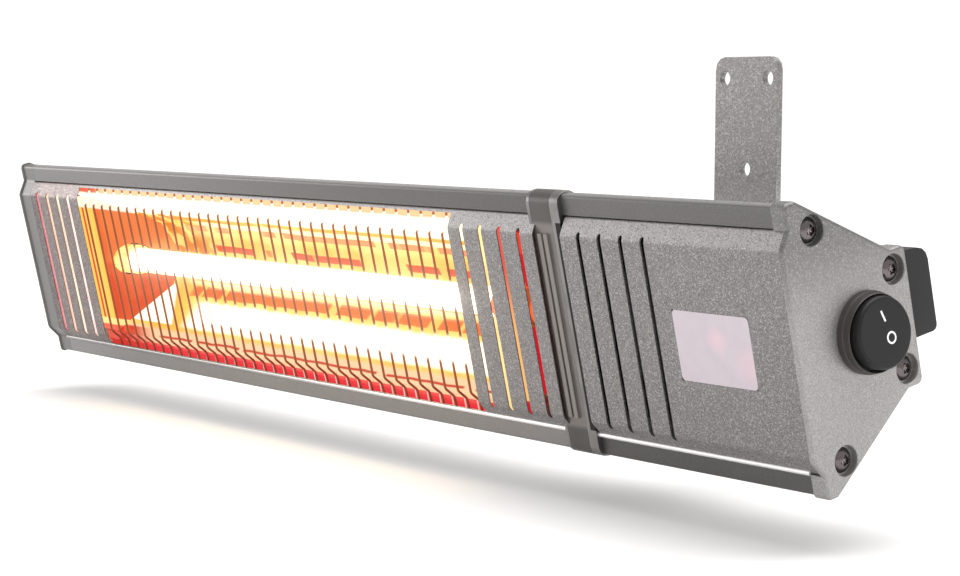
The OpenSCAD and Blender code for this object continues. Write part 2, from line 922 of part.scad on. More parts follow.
module lamp_clip_left() {
    color("#c8c6c2")
        lamp_clip();
}

module lamp_clip_right() {
    color("#c8c6c2")
        translate([2 * lamp_mid, 0, 0])
            mirror([1, 0, 0])
                lamp_clip();
}

// Leads: from each lamp end round the reflector and through the flange to the block
module lamp_lead_left() {
    turn_x = left_base_x - lead_turn;
    color("#f2f0ea")
        bent_wire([
            [left_base_x + base_len / 3, lamp_y, 0], [turn_x, lamp_y, 0],
            [turn_x, lamp_y, lead_run_z], [turn_x, lead_run_y, lead_run_z],
            [block_x, lead_run_y, lead_run_z]
        ], lead_d);
}

module lamp_lead_right() {
    turn_x = 2 * lamp_mid - left_base_x + lead_turn;
    color("#f2f0ea")
        bent_wire([
            [2 * lamp_mid - left_base_x - base_len / 3, lamp_y, 0], [turn_x, lamp_y, 0],
            [turn_x, lamp_y, -lead_run_z], [turn_x, lead_run_y, -lead_run_z],
            [block_x, lead_run_y, -lead_run_z]
        ], lead_d);
}

// Display: clear white window with a step behind the panel, then the lit module
module display_window() {
    pane_w = display_w - 2 * slip_gap;
    pane_h = display_h - 2 * slip_gap;
    color("#e6e2ea")
        difference() {
            union() {
                translate([display_x - pane_w / 2, panel_y + 0.2, display_z - pane_h / 2])
                    cube([pane_w, panel_t + 1, pane_h]);
                translate([display_x - display_w / 2 - 3, panel_back, display_z - display_h / 2 - 3])
                    cube([display_w + 6, window_step, display_h + 6]);
            }
            translate([display_x - display_w / 2 + 3, panel_y + 1.4, display_z - display_h / 2 + 3])
                cube([display_w - 6, 5, display_h - 6]);
        }
}

module display_module() {
    color("#2c2a2a")
        translate([display_x - module_w / 2, board_y - module_h, display_z - module_w * 0.3])
            cube([module_w, module_h, module_w * 0.6]);
}

module remote_receiver() {
    receiver_x = display_x + 18.5;
    receiver_d = 5;
    color("#1c1a1c") {
        rod_y(receiver_x, board_y - 6, 6, 0, receiver_d);
        translate([receiver_x, board_y - 6, 0])
            sphere(d = receiver_d);
    }
}

module at_pillars() {
    for (dx = [-pillar_dx, pillar_dx])
        for (dz = [-pillar_dz, pillar_dz])
            translate([board_x + dx, 0, board_mid_z + dz])
                children();
}

module control_board() {
    color("#20262a")
        difference() {
            translate([board_x - board_len / 2, board_y, board_mid_z - board_h / 2])
                cube([board_len, board_t, board_h]);
            at_pillars()
                rod_y(0, board_y - 1, board_t + 2, 0, 3 + 2 * slip_gap);
        }
}

module board_pillars() {
    color("#d8d4c8")
        at_pillars()
            difference() {
                rod_y(0, panel_back, board_y - panel_back, 0, pillar_d);
                rod_y(0, board_y - 7, 8, 0, 3);
            }
}

module board_screws() {
    color("#c8c6c2")
        at_pillars() {
            rod_y(0, board_y - 6, board_t + 6, 0, 3 - 2 * slip_gap);
            rod_y(0, board_y + board_t, 2, 0, 5.6);
        }
}

module relay() {
    color("#20242c")
        translate([board_x - 30, board_y + board_t, -14])
            cube([16, 18, 28]);
}

// Parts soldered to the back of the board: two capacitors, a transformer, a sounder
module board_components() {
    back = board_y + board_t;
    color("#1e1e22") {
        rod_y(board_x - 4, back, 16, 16, 10);
        rod_y(board_x + 9, back, 12, 18, 8);
        translate([board_x - 10, back, -22])
            cube([24, 15, 18]);
        rod_y(board_x + 5, back, 7, 5, 9);
    }
}

module terminal_block() {
    color("#e8e4da")
        difference() {
            translate([block_x, inner_back - block_depth, -block_h / 2])
                cube([block_len, block_depth, block_h]);
            for (i = [0:2])
                rod_y(block_x + 7 + i * 10, inner_back - block_depth - 1, 5, 0, 5);
            for (side = [-1, 1])
                rod_x(block_x - 1, 7, lead_run_y, side * lead_run_z, lead_d + 0.4);
        }
}

// Switch: flanged bezel and body in the right cap, with a rocker on its own pin
module switch_bezel() {
    color("#26221f")
        difference() {
            union() {
                rod_x(heater_len, flange_t, switch_y, 0, flange_d);
                rod_x(heater_len, collar_h, switch_y, 0, collar_d);
            }
            rod_x(heater_len - 1, collar_h + 2, switch_y, 0, collar_bore_d);
            rod_y(pin_x, switch_y - flange_d, 2 * flange_d, 0, rocker_pin_d + 2 * running_gap);
        }
}

module switch_body() {
    rim_t = 0.8;
    color("#1d1b1a") {
        rod_x(heater_len - switch_body_len, switch_body_len, switch_y, 0, switch_body_d);
        rod_x(heater_len, rim_t, switch_y, 0, collar_bore_d - 2 * slip_gap);
    }
}

module rocked() {
    translate([pin_x, switch_y, 0])
        rotate([0, -rock, 0])
            translate([-pin_x, -switch_y, 0])
                children();
}

module switch_rocker() {
    edge_r = 1.6;
    r = rocker_d / 2;
    lug_w = rocker_d * 0.8;
    skirt = heater_len + rocker_bottom + 1.2;
    color("#161517")
        rocked()
            difference() {
                union() {
                    translate([skirt, switch_y, 0])
                        rotate([0, 90, 0])
                            rotate_extrude()
                                polygon(concat(
                                    [[0, 0], [r - 1, 0], [r, 1]],
                                    [for (a = [0:15:90])
                                        [r - edge_r + edge_r * cos(a),
                                         heater_len + rocker_top - skirt - edge_r
                                         + edge_r * sin(a)]],
                                    [[0, heater_len + rocker_top - skirt]]
                                ));
                    translate([heater_len + rocker_bottom - 0.6, switch_y - lug_w / 2, -2.2])
                        cube([3, lug_w, 4.4]);
                }
                rod_y(pin_x, switch_y - flange_d, 2 * flange_d, 0, rocker_pin_d);
            }
}

module switch_pin() {
    pin_len = collar_d - 0.4;
    color("#c8c6c2")
        rod_y(pin_x, switch_y - pin_len / 2, pin_len, 0, rocker_pin_d);
}

module switch_terminals() {
    color("#d8b060")
        for (z = [-6, 0, 6])
            translate([heater_len - switch_body_len - blade_len, switch_y - 3, z - 0.4])
                cube([blade_len, 6, 0.8]);
}

module switch_leads() {
    blade_end = heater_len - switch_body_len - blade_len;
    run_y = inner_back - block_depth + lead_d;
    color("#a03028")
        for (z = [-6, 6])
            bent_wire([
                [blade_end, switch_y, z], [blade_end - lead_turn, switch_y, z],
                [blade_end - lead_turn, run_y, z], [block_x + block_len, run_y, z]
            ], lead_d);
}

// Connection box on the back, behind the control section
function box_path() = rounded([
    [box_y, -box_bottom], [box_back, -box_bottom], [box_back, box_top - 1.5],
    [box_y, box_top]
], [0.6, 2.6, 6, 0.6]);

module at_box_screws() {
    for (x = box_screw_xs)
        for (z = box_screw_zs)
            translate([x, 0, z])
                children();
}

module rear_box() {
    post_d = 6.8;
    color("#2e2d2f")
        difference() {
            union() {
                difference() {
                    along_x(box_x, box_len)
                        polygon(box_path());
                    translate([box_x + box_wall, box_y - 1, -box_bottom + box_wall])
                        cube([box_len - 2 * box_wall, box_depth + 1 - box_wall,
                              box_top + box_bottom - 2 * box_wall - 2]);
                }
                at_box_screws()
                    rod_y(0, box_y, box_depth - 1, 0, post_d);
            }
            at_box_screws() {
                rod_y(0, box_y - 1, box_depth + 2, 0, box_shank_d + 2 * slip_gap);
                rod_y(0, box_back - box_head_h - 0.3, 5, 0, box_head_d + 2 * slip_gap);
            }
            translate([gland_x, gland_y, -box_bottom - 1])
                cylinder(d = gland_d + 2 * slip_gap, h = box_wall + 2);
        }
}

module rear_box_seal() {
    seal_in = 4;
    color("#1f1e1e")
        difference() {
            translate([box_x, housing_back, -box_bottom])
                cube([right_gasket_x - box_x, seal_t, box_top + box_bottom]);
            translate([box_x + seal_in, housing_back - 1, -box_bottom + seal_in])
                cube([right_gasket_x - box_x - 2 * seal_in, seal_t + 2,
                      box_top + box_bottom - 2 * seal_in]);
            at_box_screws()
                rod_y(0, housing_back - 1, seal_t + 2, 0, box_shank_d + 2 * slip_gap);
        }
}

module rear_box_screws() {
    head_back = box_back - 0.3;
    color("#8a8886")
        at_box_screws()
            difference() {
                union() {
                    rod_y(0, head_back - box_head_h, box_head_h, 0, box_head_d);
                    rod_y(0, inner_back - 3, head_back - box_head_h - inner_back + 3, 0,
                          box_shank_d);
                }
                for (a = [0, 90])
                    rotate([0, a, 0])
                        translate([-2, head_back - 1.2, -0.45])
                            cube([4, 2, 0.9]);
            }
}

module gland_body() {
    color("#232224")
        translate([gland_x, gland_y, -box_bottom])
            difference() {
                union() {
                    translate([0, 0, -box_wall])
                        cylinder(d = gland_d, h = 2 * box_wall);
                    translate([0, 0, -gland_flange_h])
                        cylinder(d = gland_nut_d, h = gland_flange_h, $fn = 6);
                    translate([0, 0, -gland_flange_h - gland_thread_h])
                        cylinder(d = gland_d, h = gland_thread_h + 1);
                }
                translate([0, 0, -gland_flange_h - gland_thread_h - 1])
                    cylinder(d = gland_bore, h = gland_flange_h + gland_thread_h + 2 * box_wall + 2);
            }
}

module gland_nut() {
    dome_h = 3;
    color("#232224")
        translate([gland_x, gland_y, -box_bottom - gland_flange_h - 0.2])
            difference() {
                union() {
                    translate([0, 0, -gland_nut_h + dome_h])
                        cylinder(d = gland_nut_d, h = gland_nut_h - dome_h, $fn = 6);
                    translate([0, 0, -gland_nut_h])
                        cylinder(d1 = gland_d + 0.6, d2 = gland_nut_d * cos(30), h = dome_h);
                }
                translate([0, 0, -gland_thread_h])
                    cylinder(d = gland_d + 2 * slip_gap, h = gland_thread_h + 1);
                translate([0, 0, -gland_nut_h - 1])
                    cylinder(d = gland_bore, h = gland_nut_h);
            }
}

// Tilt bracket: base on the divider, ears outside the fork, round the pivot
module ear(x, from_y, to_y) {
    translate([x, 0, 0])
        intersection() {
            union() {
                rod_x(0, ear_t, to_y, 0, 2 * ear_r);
                translate([0, min(from_y, to_y), -ear_r])
                    cube([ear_t, abs(to_y - from_y), 2 * ear_r]);
            }
            translate([0, min(from_y, to_y - ear_r), -ear_r])
                cube([ear_t, abs(to_y - from_y) + ear_r, 2 * ear_r]);
        }
}

module at_bracket_screws() {
    for (side = [-1, 1])
        for (z_side = [-1, 1])
            translate([divider_x + side * bracket_screw_dx, 0, z_side * bracket_screw_dz])
                children();
}

module tilt_bracket() {
    outer = tilt_outer_w / 2;
    color("#b0aeaa")
        difference() {
            union() {
                translate([divider_x - tilt_base_w / 2, profile_depth, -tilt_base_h / 2])
                    cube([tilt_base_w, ear_t, tilt_base_h]);
                for (x = [divider_x - outer, divider_x + outer - ear_t])
                    ear(x, profile_depth, pivot_y);
            }
            rod_x(divider_x - outer - 1, tilt_outer_w + 2, pivot_y, 0, pivot_d + 2 * running_gap);
            at_bracket_screws()
                rod_y(0, profile_depth - 1, ear_t + 2, 0, tie_shank_d + 2 * slip_gap);
        }
}

// Pads fill the step between the proud divider and the housings
module bracket_pads() {
    color("#3a3836")
        difference() {
            for (side = [-1, 1])
                translate([divider_x + side * bracket_screw_dx - pad_w / 2, housing_back,
                           -tilt_base_h / 2])
                    cube([pad_w, cap_proud, tilt_base_h]);
            at_bracket_screws()
                rod_y(0, housing_back - 1, cap_proud + 2, 0, tie_shank_d + 2 * slip_gap);
        }
}

module bracket_screws() {
    color("#c8c6c2")
        at_bracket_screws()
            difference() {
                union() {
                    rod_y(0, profile_depth + ear_t, tie_head_h, 0, tie_head_d);
                    rod_y(0, inner_back - tie_nut_h - 1,
                          profile_depth + ear_t - inner_back + tie_nut_h + 1, 0, tie_shank_d);
                }
                translate([0, profile_depth + ear_t + tie_head_h - 2, 0])
                    rotate([-90, 0, 0])
                        cylinder(d = 4.6, h = 3, $fn = 6);
            }
}

module bracket_nuts() {
    color("#c8c6c2")
        at_bracket_screws()
            difference() {
                translate([0, inner_back - tie_nut_h, 0])
                    rotate([-90, 0, 0])
                        cylinder(d = tie_nut_d, h = tie_nut_h, $fn = 6);
                rod_y(0, inner_back - tie_nut_h - 1, tie_nut_h + 2, 0, tie_shank_d + 2 * slip_gap);
            }
}

// Wall side, drawn in the frame of the wall: plate, fork, rivets and pivot
module wall_plate() {
    color("#b8b6b2")
        translate([0, -plate_t, 0])
            rotate([-90, 0, 0])
                linear_extrude(plate_t)
                    difference() {
                        polygon(rounded([
                            [-plate_w / 2, -hole_margin], [plate_w / 2, -hole_margin],
                            [plate_w / 2, plate_h - hole_margin],
                            [-plate_w / 2, plate_h - hole_margin]
                        ], [for (i = [1:4]) plate_corner_r]));
                        for (x = [-1, 1])
                            translate([x * wall_hole_pitch / 2, 0])
                                circle(d = wall_hole_d);
                        translate([0, third_hole_drop])
                            circle(d = wall_hole_d);
                        for (z = [-1, 1])
                            translate([0, pivot_drop + z * fork_h / 3])
                                circle(d = tie_shank_d + 2 * slip_gap);
                    }
}

module hinge_fork() {
    color("#b0aeaa")
        translate([0, 0, -pivot_drop])
            difference() {
                union() {
                    translate([-fork_w / 2, fork_base_y, -fork_h / 2])
                        cube([fork_w, ear_t, fork_h]);
                    for (x = [-fork_w / 2, fork_w / 2 - ear_t])
                        ear(x, fork_base_y + ear_t, -pivot_reach);
                }
                rod_x(-fork_w, 2 * fork_w, -pivot_reach, 0, pivot_d + 2 * running_gap);
                for (z = [-1, 1])
                    rod_y(0, fork_base_y - 1, ear_t + 2, z * fork_h / 3,
                          tie_shank_d + 2 * slip_gap);
            }
}

module fork_rivets() {
    rivet_head_h = 1.6;
    color("#c8c6c2")
        translate([0, 0, -pivot_drop])
            for (z = [-1, 1]) {
                rod_y(0, fork_base_y - rivet_head_h, rivet_head_h, z * fork_h / 3, tie_head_d);
                rod_y(0, fork_base_y, -fork_base_y, z * fork_h / 3, tie_shank_d);
            }
}

module pivot_bolt() {
    under_head = tilt_outer_w / 2 + washer_t;
    bolt_end = under_head + 9;
    color("#c8c6c2")
        translate([0, -pivot_reach, -pivot_drop]) {
            rod_x(-under_head, under_head + bolt_end, 0, 0, pivot_d);
            translate([-under_head - pivot_head_h, 0, 0])
                rotate([0, 90, 0])
                    cylinder(d = pivot_head_d, h = pivot_head_h, $fn = 6);
        }
}

module pivot_nut() {
    nut_h = 6.5;
    color("#c8c6c2")
        translate([tilt_outer_w / 2 + washer_t, -pivot_reach, -pivot_drop])
            difference() {
                rotate([0, 90, 0])
                    cylinder(d = pivot_head_d, h = nut_h, $fn = 6);
                rod_x(-1, nut_h + 2, 0, 0, pivot_d + 2 * slip_gap);
            }
}

// Two plain washers under head and nut, two friction washers between the ears
module pivot_washers() {
    washer_d = 16;
    outer_x = tilt_outer_w / 2 + 0.1;
    friction_x = fork_w / 2 + 0.1;
    color("#8a8886")
        translate([0, -pivot_reach, -pivot_drop])
            for (side = [-1, 1])
                mirror([side < 0 ? 1 : 0, 0, 0])
                    difference() {
                        union() {
                            rod_x(outer_x, washer_t - 0.1, 0, 0, washer_d);
                            rod_x(friction_x, friction_washer_t, 0, 0, washer_d);
                        }
                        rod_x(friction_x - 1, 12, 0, 0, pivot_d + 2 * slip_gap);
                    }
}

placed() heating_housing();
placed() control_housing();
placed() heating_panel();
placed() control_panel();
placed() left_end_cap();
placed() right_end_cap();
placed() left_gasket();
placed() right_gasket();
placed() left_cap_screws();
placed() right_cap_screws();
placed() divider_band();
placed() divider_flange_left();
placed() divider_flange_right();
placed() joining_studs();
placed() reflector();
placed() reflector_end_left();
placed() reflector_end_right();
placed() heat_shield();
placed() lamp_tube();
placed() lamp_filament();
placed() lamp_base_left();
placed() lamp_base_right();
placed() lamp_clip_left();
placed() lamp_clip_right();
placed() lamp_lead_left();
placed() lamp_lead_right();
placed() display_window();
placed() display_module();
placed() remote_receiver();
placed() control_board();
placed() board_pillars();
placed() board_screws();
placed() relay();
placed() board_components();
placed() terminal_block();
placed() switch_bezel();
placed() switch_body();
placed() switch_rocker();
placed() switch_pin();
placed() switch_terminals();
placed() switch_leads();
placed() rear_box();
placed() rear_box_seal();
placed() rear_box_screws();
placed() gland_body();
placed() gland_nut();
placed() tilt_bracket();
placed() bracket_pads();
placed() bracket_screws();
placed() bracket_nuts();
wall_plate();
hinge_fork();
fork_rivets();
pivot_bolt();
pivot_nut();
pivot_washers();
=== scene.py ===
import json
import math
import bmesh
import bpy
from mathutils import Matrix, Vector

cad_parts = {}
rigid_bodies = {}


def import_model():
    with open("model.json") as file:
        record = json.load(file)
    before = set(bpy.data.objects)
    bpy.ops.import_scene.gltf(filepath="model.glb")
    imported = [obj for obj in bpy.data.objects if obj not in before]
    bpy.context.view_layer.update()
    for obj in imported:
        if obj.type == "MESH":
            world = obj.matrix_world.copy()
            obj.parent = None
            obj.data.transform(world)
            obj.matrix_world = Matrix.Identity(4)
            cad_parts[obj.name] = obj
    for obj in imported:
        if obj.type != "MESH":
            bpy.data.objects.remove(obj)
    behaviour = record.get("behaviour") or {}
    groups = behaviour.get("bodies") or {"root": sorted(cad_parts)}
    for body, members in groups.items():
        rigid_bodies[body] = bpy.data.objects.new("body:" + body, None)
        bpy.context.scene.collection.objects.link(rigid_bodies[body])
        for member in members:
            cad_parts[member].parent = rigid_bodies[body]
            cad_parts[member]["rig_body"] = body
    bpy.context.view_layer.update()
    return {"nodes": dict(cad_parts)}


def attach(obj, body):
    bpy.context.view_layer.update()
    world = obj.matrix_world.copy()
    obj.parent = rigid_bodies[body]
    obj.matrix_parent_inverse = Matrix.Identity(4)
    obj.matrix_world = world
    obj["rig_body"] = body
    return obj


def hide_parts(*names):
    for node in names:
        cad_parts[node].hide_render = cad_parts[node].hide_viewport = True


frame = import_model()
nodes = frame["nodes"]
mm = 0.001

# The heater's own axes: x along it from the left cap, y back from the front, z up the face
hang = {"dividerX": 517.5, "reach": 35, "drop": 92, "pivotY": 82, "lean": 13}
heaterPlace = (
    Matrix.Translation((-hang["dividerX"] * mm, -hang["reach"] * mm, -hang["drop"] * mm))
    @ Matrix.Rotation(math.radians(hang["lean"]), 4, "X")
    @ Matrix.Translation((0, -hang["pivotY"] * mm, 0))
)


class Wire:  # a socket that sums and products can be written with
    def __init__(self, owner, socket):
        self.owner = owner
        self.socket = socket

    def maths(self, how, a, b):
        return self.owner.add("Math", {"operation": how}, {0: a, 1: b})

    def __add__(self, other):
        return self.maths("ADD", self, other)

    __radd__ = __add__

    def __mul__(self, other):
        return self.maths("MULTIPLY", self, other)

    __rmul__ = __mul__

    def __sub__(self, other):
        return self.maths("SUBTRACT", self, other)

    def __rsub__(self, other):
        return self.maths("SUBTRACT", other, self)

    def __gt__(self, other):
        return self.maths("GREATER_THAN", self, other)

    def __lt__(self, other):
        return self.maths("LESS_THAN", self, other)


class Nodes:  # a node tree, emptied first and then filled by one method
    def __init__(self, tree, family="ShaderNode"):
        self.tree = tree
        self.family = family
        tree.nodes.clear()

    def add(self, kind, settings=None, sockets=None, take=0):
        node = self.tree.nodes.new(self.family + kind)
        for name, value in (settings or {}).items():
            if name == "stops":
                stops = node.color_ramp.elements
                while len(stops) < len(value):
                    stops.new(1)
                for stop, (where, colour) in zip(stops, value):
                    stop.position = where
                    stop.color = (*colour, 1)
            else:
                setattr(node, name, value)
        for name, value in (sockets or {}).items():
            socket = node.inputs[name]
            if isinstance(value, Wire):
                self.tree.links.new(value.socket, socket)
            elif socket.type == "RGBA":
                socket.default_value = (*value[:3], 1)
            else:
                socket.default_value = value
        return Wire(self, node.outputs[take]) if node.outputs else node


class Finish(Nodes):  # one material
    def __init__(self, name):
        self.material = bpy.data.materials.new(name)
        self.material.use_nodes = True
        self.place = None
        super().__init__(self.material.node_tree)

    def spot(self):  # the surface point in millimetres
        if self.place is None:
            raw = self.add("TexCoord", take="Object")
            self.place = self.add("VectorMath", {"operation": "SCALE"}, {0: raw, "Scale": 1000})
        return self.place

    def axis(self, name):
        return self.add("SeparateXYZ", None, {0: self.spot()}, name)

    def offCentre(self):  # height above or below the middle of the face
        return self.add("Math", {"operation": "ABSOLUTE"}, {0: self.axis("Z")})

    def stretched(self, x, y, z):
        return self.add("VectorMath", {"operation": "MULTIPLY"}, {0: self.spot(), 1: (x, y, z)})

    def noise(self, size, detail=2.0, where=None):
        return self.add("TexNoise", None, {"Vector": where or self.spot(), "Scale": 1 / size,
                                           "Detail": detail})

    def cells(self, size, take="Color"):
        return self.add("TexVoronoi", None, {"Vector": self.spot(), "Scale": 1 / size}, take)

    def ramp(self, factor, stops):
        return self.add("ValToRGB", {"stops": stops}, {0: factor})

    def between(self, value, low, high, fromV=0.0, toV=1.0):
        return self.add("MapRange", {"interpolation_type": "SMOOTHSTEP"}, {
            "Value": value, "From Min": low, "From Max": high, "To Min": fromV, "To Max": toV})

    def mix(self, factor, a, b, how="MIX"):
        return self.add("Mix", {"data_type": "RGBA", "blend_type": how},
                        {0: factor, 6: a, 7: b}, 2)

    def tinted(self, base, tint):
        return self.mix(1.0, base, tint, "MULTIPLY")

    def inBand(self, value, rising, falling):
        return self.between(value, *rising) * self.between(value, *falling)

    def bump(self, height, strength, depth):
        return self.add("Bump", None, {"Strength": strength, "Distance": depth * mm,
                                       "Height": height})

    def shade(self, sockets):
        self.add("OutputMaterial", None, {"Surface": self.add("BsdfPrincipled", None, sockets)})
        return self.material


def scaled(colour, much):
    return tuple(c * much for c in colour)


def seen(*shown, much=1.0):  # a screen colour, 0 to 255, as light
    return tuple(much * (c / 255 / 12.92 if c < 11 else ((c / 255 + 0.055) / 1.055) ** 2.4)
                 for c in shown)


# where the paints and their painted light and shade change, in mm on the heater: (starts, complete)
regions = {
    "bend": (41, 44), "lipFront": (7.2, 6.6), "lipFace": (58.9, 58.2), "lipRun": (40, 420),
    "warmEnd": (76, 68), "bandRidge": (3.2, 2.6), "bandLitMiddle": (48, 45),
}


def sandPaint(name, look):
    f = Finish(name)
    grain, colour = look["grain"], look["colour"]
    sand = f.noise(grain, 1)
    flakes = f.add("SeparateColor", None, {0: f.cells(grain * 0.85)}, 0)
    speck = f.between(flakes, 0.72, 0.95)
    pit = f.between(flakes, 0.22, 0.05)
    coarse = f.between(sand, 0.32, 0.68)
    strong = look["strong"]
    if "lips" in look:  # the lips are smooth, the sides behind them sandy
        strong = f.between(f.axis("Y"), look["lips"] - 1.5, look["lips"]) * strong
    bright = strong
    if "slope" in look:  # painted highlight: the grains on the upper bend are painted brighter, as if it caught more light
        bright = strong + f.between(f.axis("Z"), *regions["bend"]) * look["slope"]
    base = f.mix(coarse, scaled(colour, 0.90), scaled(colour, 1.10))
    if "lipPaintedShade" in look:  # painted shade on the faces of the lips: the upper one darker towards the control end, the lower one darker all along
        upper, upperFar, lower = look["lipPaintedShade"]
        face = (f.between(f.axis("Y"), *regions["lipFront"])
                * f.between(f.offCentre(), *regions["lipFace"]))
        high = f.between(f.axis("X"), *regions["lipRun"], upper, upperFar)
        shade = f.mix(f.axis("Z") > 0, (lower, lower, lower), high)
        base = f.mix(face, base, f.tinted(base, shade))
    # painted light and shade: the base is lightened or darkened along one axis, as light falls
    for axis, low, high, much, muchHigh in look.get("fades", ()):
        base = f.tinted(base, f.between(f.axis(axis), low, high, much, muchHigh))
    if "warmEnd" in look:  # painted glow: left of the window the lamp's light is painted into the paint as a warm tint
        paintedGlowMask = f.between(f.axis("X"), *regions["warmEnd"])
        base = f.mix(paintedGlowMask, base, f.tinted(base, look["warmEnd"]))
    # bright specks: lighter grains of the sand, with a painted glint, and a painted highlight on
    # the upper bend
    base = f.mix(speck * bright, base, scaled(colour, 2.1))
    base = f.mix(pit * strong, base, scaled(colour, 0.42))
    return f.shade({
        "Base Color": base, "Metallic": look["metal"],
        "Roughness": look["rough"] + coarse * 0.06 - speck * 0.10,
        "Normal": f.bump((sand + speck * 0.25) * strong, 0.45, grain * 0.12),
    })


def satinPaint(name, colour, rough=0.4, metal=0.6):
    f = Finish(name)
    fine = f.noise(0.5, 2)
    patch = f.noise(45, 3)
    tone = f.between(patch, 0.3, 0.7)
    return f.shade({
        "Base Color": f.mix(tone, scaled(colour, 0.94), scaled(colour, 1.06)),
        "Metallic": metal, "Roughness": rough + tone * 0.05,
        "Normal": f.bump(fine, 0.2, 0.03),
    })


def beadHighlightPaint(name, look):  # painted highlight: brightens along the heater towards the control end
    f = Finish(name)
    patch = f.between(f.noise(30, 2), 0.3, 0.7)
    along = f.between(f.axis("X"), *look["fade"])
    return f.shade({
        "Base Color": f.mix(along, look["far"], look["near"]), "Metallic": 0.65,
        "Roughness": 0.32 + patch * 0.05, "Normal": f.bump(f.noise(0.5, 2), 0.2, 0.03),
    })


def bandPaint(name, look):
    f = Finish(name)
    worn = f.between(f.noise(16, 3), 0.3, 0.7)
    ridge = f.between(f.axis("Y"), *regions["bandRidge"])
    base = f.mix(worn, look["dark"], scaled(look["dark"], 1.25))
    # painted light: the set-back middle of the band is painted lighter, against the shade in its
    # recess
    base = f.tinted(base, f.between(f.offCentre(), *regions["bandLitMiddle"], 1, look["recess"]))
    return f.shade({
        "Base Color": f.mix(ridge, base, look["ridge"]), "Metallic": 0.35,
        "Roughness": 0.34 + worn * 0.08, "Normal": f.bump(f.noise(0.6, 2), 0.2, 0.03),
    })


def drawnMetal(name, colour, rough=0.3, streak=(0.02, 1, 1), metal=1.0, depth=0.04):
    f = Finish(name)
    lines = f.noise(0.7, 3, f.stretched(*streak))
    dirt = f.noise(12, 3)
    return f.shade({
        "Base Color": f.mix(f.between(dirt, 0.35, 0.7), scaled(colour, 1.05), scaled(colour, 0.85)),
        "Metallic": metal, "Roughness": rough + f.between(lines, 0.3, 0.7) * 0.12,
        "Normal": f.bump(lines, 0.3, depth),
    })


def flangeMetal(name, look):
    f = Finish(name)
    dirt = f.between(f.noise(12, 3), 0.35, 0.7)
    x, y, z = look["seamAt"]  # painted shade: the flange is painted dark at the gap to the control panel, where shade falls
    seam = (f.axis("X") > x) * (f.offCentre() < z) * (f.axis("Y") < y)
    base = f.mix(dirt, scaled(look["colour"], 1.05), scaled(look["colour"], 0.88))
    return f.shade({
        "Base Color": f.mix(seam, base, look["seam"]), "Metallic": 1.0,
        "Roughness": 0.36 + dirt * 0.1, "Normal": f.bump(f.noise(0.7, 2), 0.3, 0.03),
    })


def mouldedPlastic(name, colour, rough=0.4, grain=0.5, depth=0.03, shine=0.5):
    f = Finish(name)
    pits = f.noise(grain, 2)
    wear = f.noise(18, 3)
    return f.shade({
        "Base Color": f.mix(f.between(wear, 0.35, 0.7), scaled(colour, 0.9), scaled(colour, 1.15)),
        "Roughness": rough + f.between(wear, 0.3, 0.7) * 0.08, "Specular IOR Level": shine,
        "Normal": f.bump(pits, 0.3, depth),
    })


def softRubber(name, colour):
    f = Finish(name)
    dust = f.noise(4, 4)
    return f.shade({
        "Base Color": f.mix(f.between(dust, 0.4, 0.75), colour, scaled(colour, 1.8)),
        "Roughness": f.between(dust, 0.2, 0.8, 0.75, 0.9),
        "Normal": f.bump(f.noise(0.3, 2), 0.3, 0.04),
    })


def glowingQuartz(name, look):
    f = Finish(name)
    ripple = f.between(f.noise(6, 2, f.stretched(1, 0.1, 0.1)), 0.3, 0.7)
    edge = f.between(f.offCentre(), look["coreTo"], look["rimFrom"])
    glow = f.mix(edge, look["core"], look["rim"])
    return f.shade({
        "Base Color": (1, 0.9, 0.75), "Roughness": 0.15,
        "Emission Color": f.mix(ripple * 0.25, glow, scaled(look["core"], 0.85)),
        "Emission Strength": look["strength"],
    })


def realAndPaintedGlow(name, look):
    # the coil is a lamp; the lamp bases are not, and their glow is painted light from the lamp
    f = Finish(name)
    patch = f.between(f.noise(5, 2), 0.42, 0.62)
    glow = f.mix(patch, look["hot"], look["cooler"])
    if "farEnd" in look:  # the end beside the divider is painted duller
        glow = f.mix(f.axis("X") > look["farEndX"], glow, look["farEnd"])
    return f.shade({
        "Base Color": (0.6, 0.45, 0.3), "Roughness": 0.6 + patch * 0.1,
        "Normal": f.bump(f.noise(0.8, 2), 0.3, 0.06),
        "Emission Color": glow, "Emission Strength": 1.0,
    })


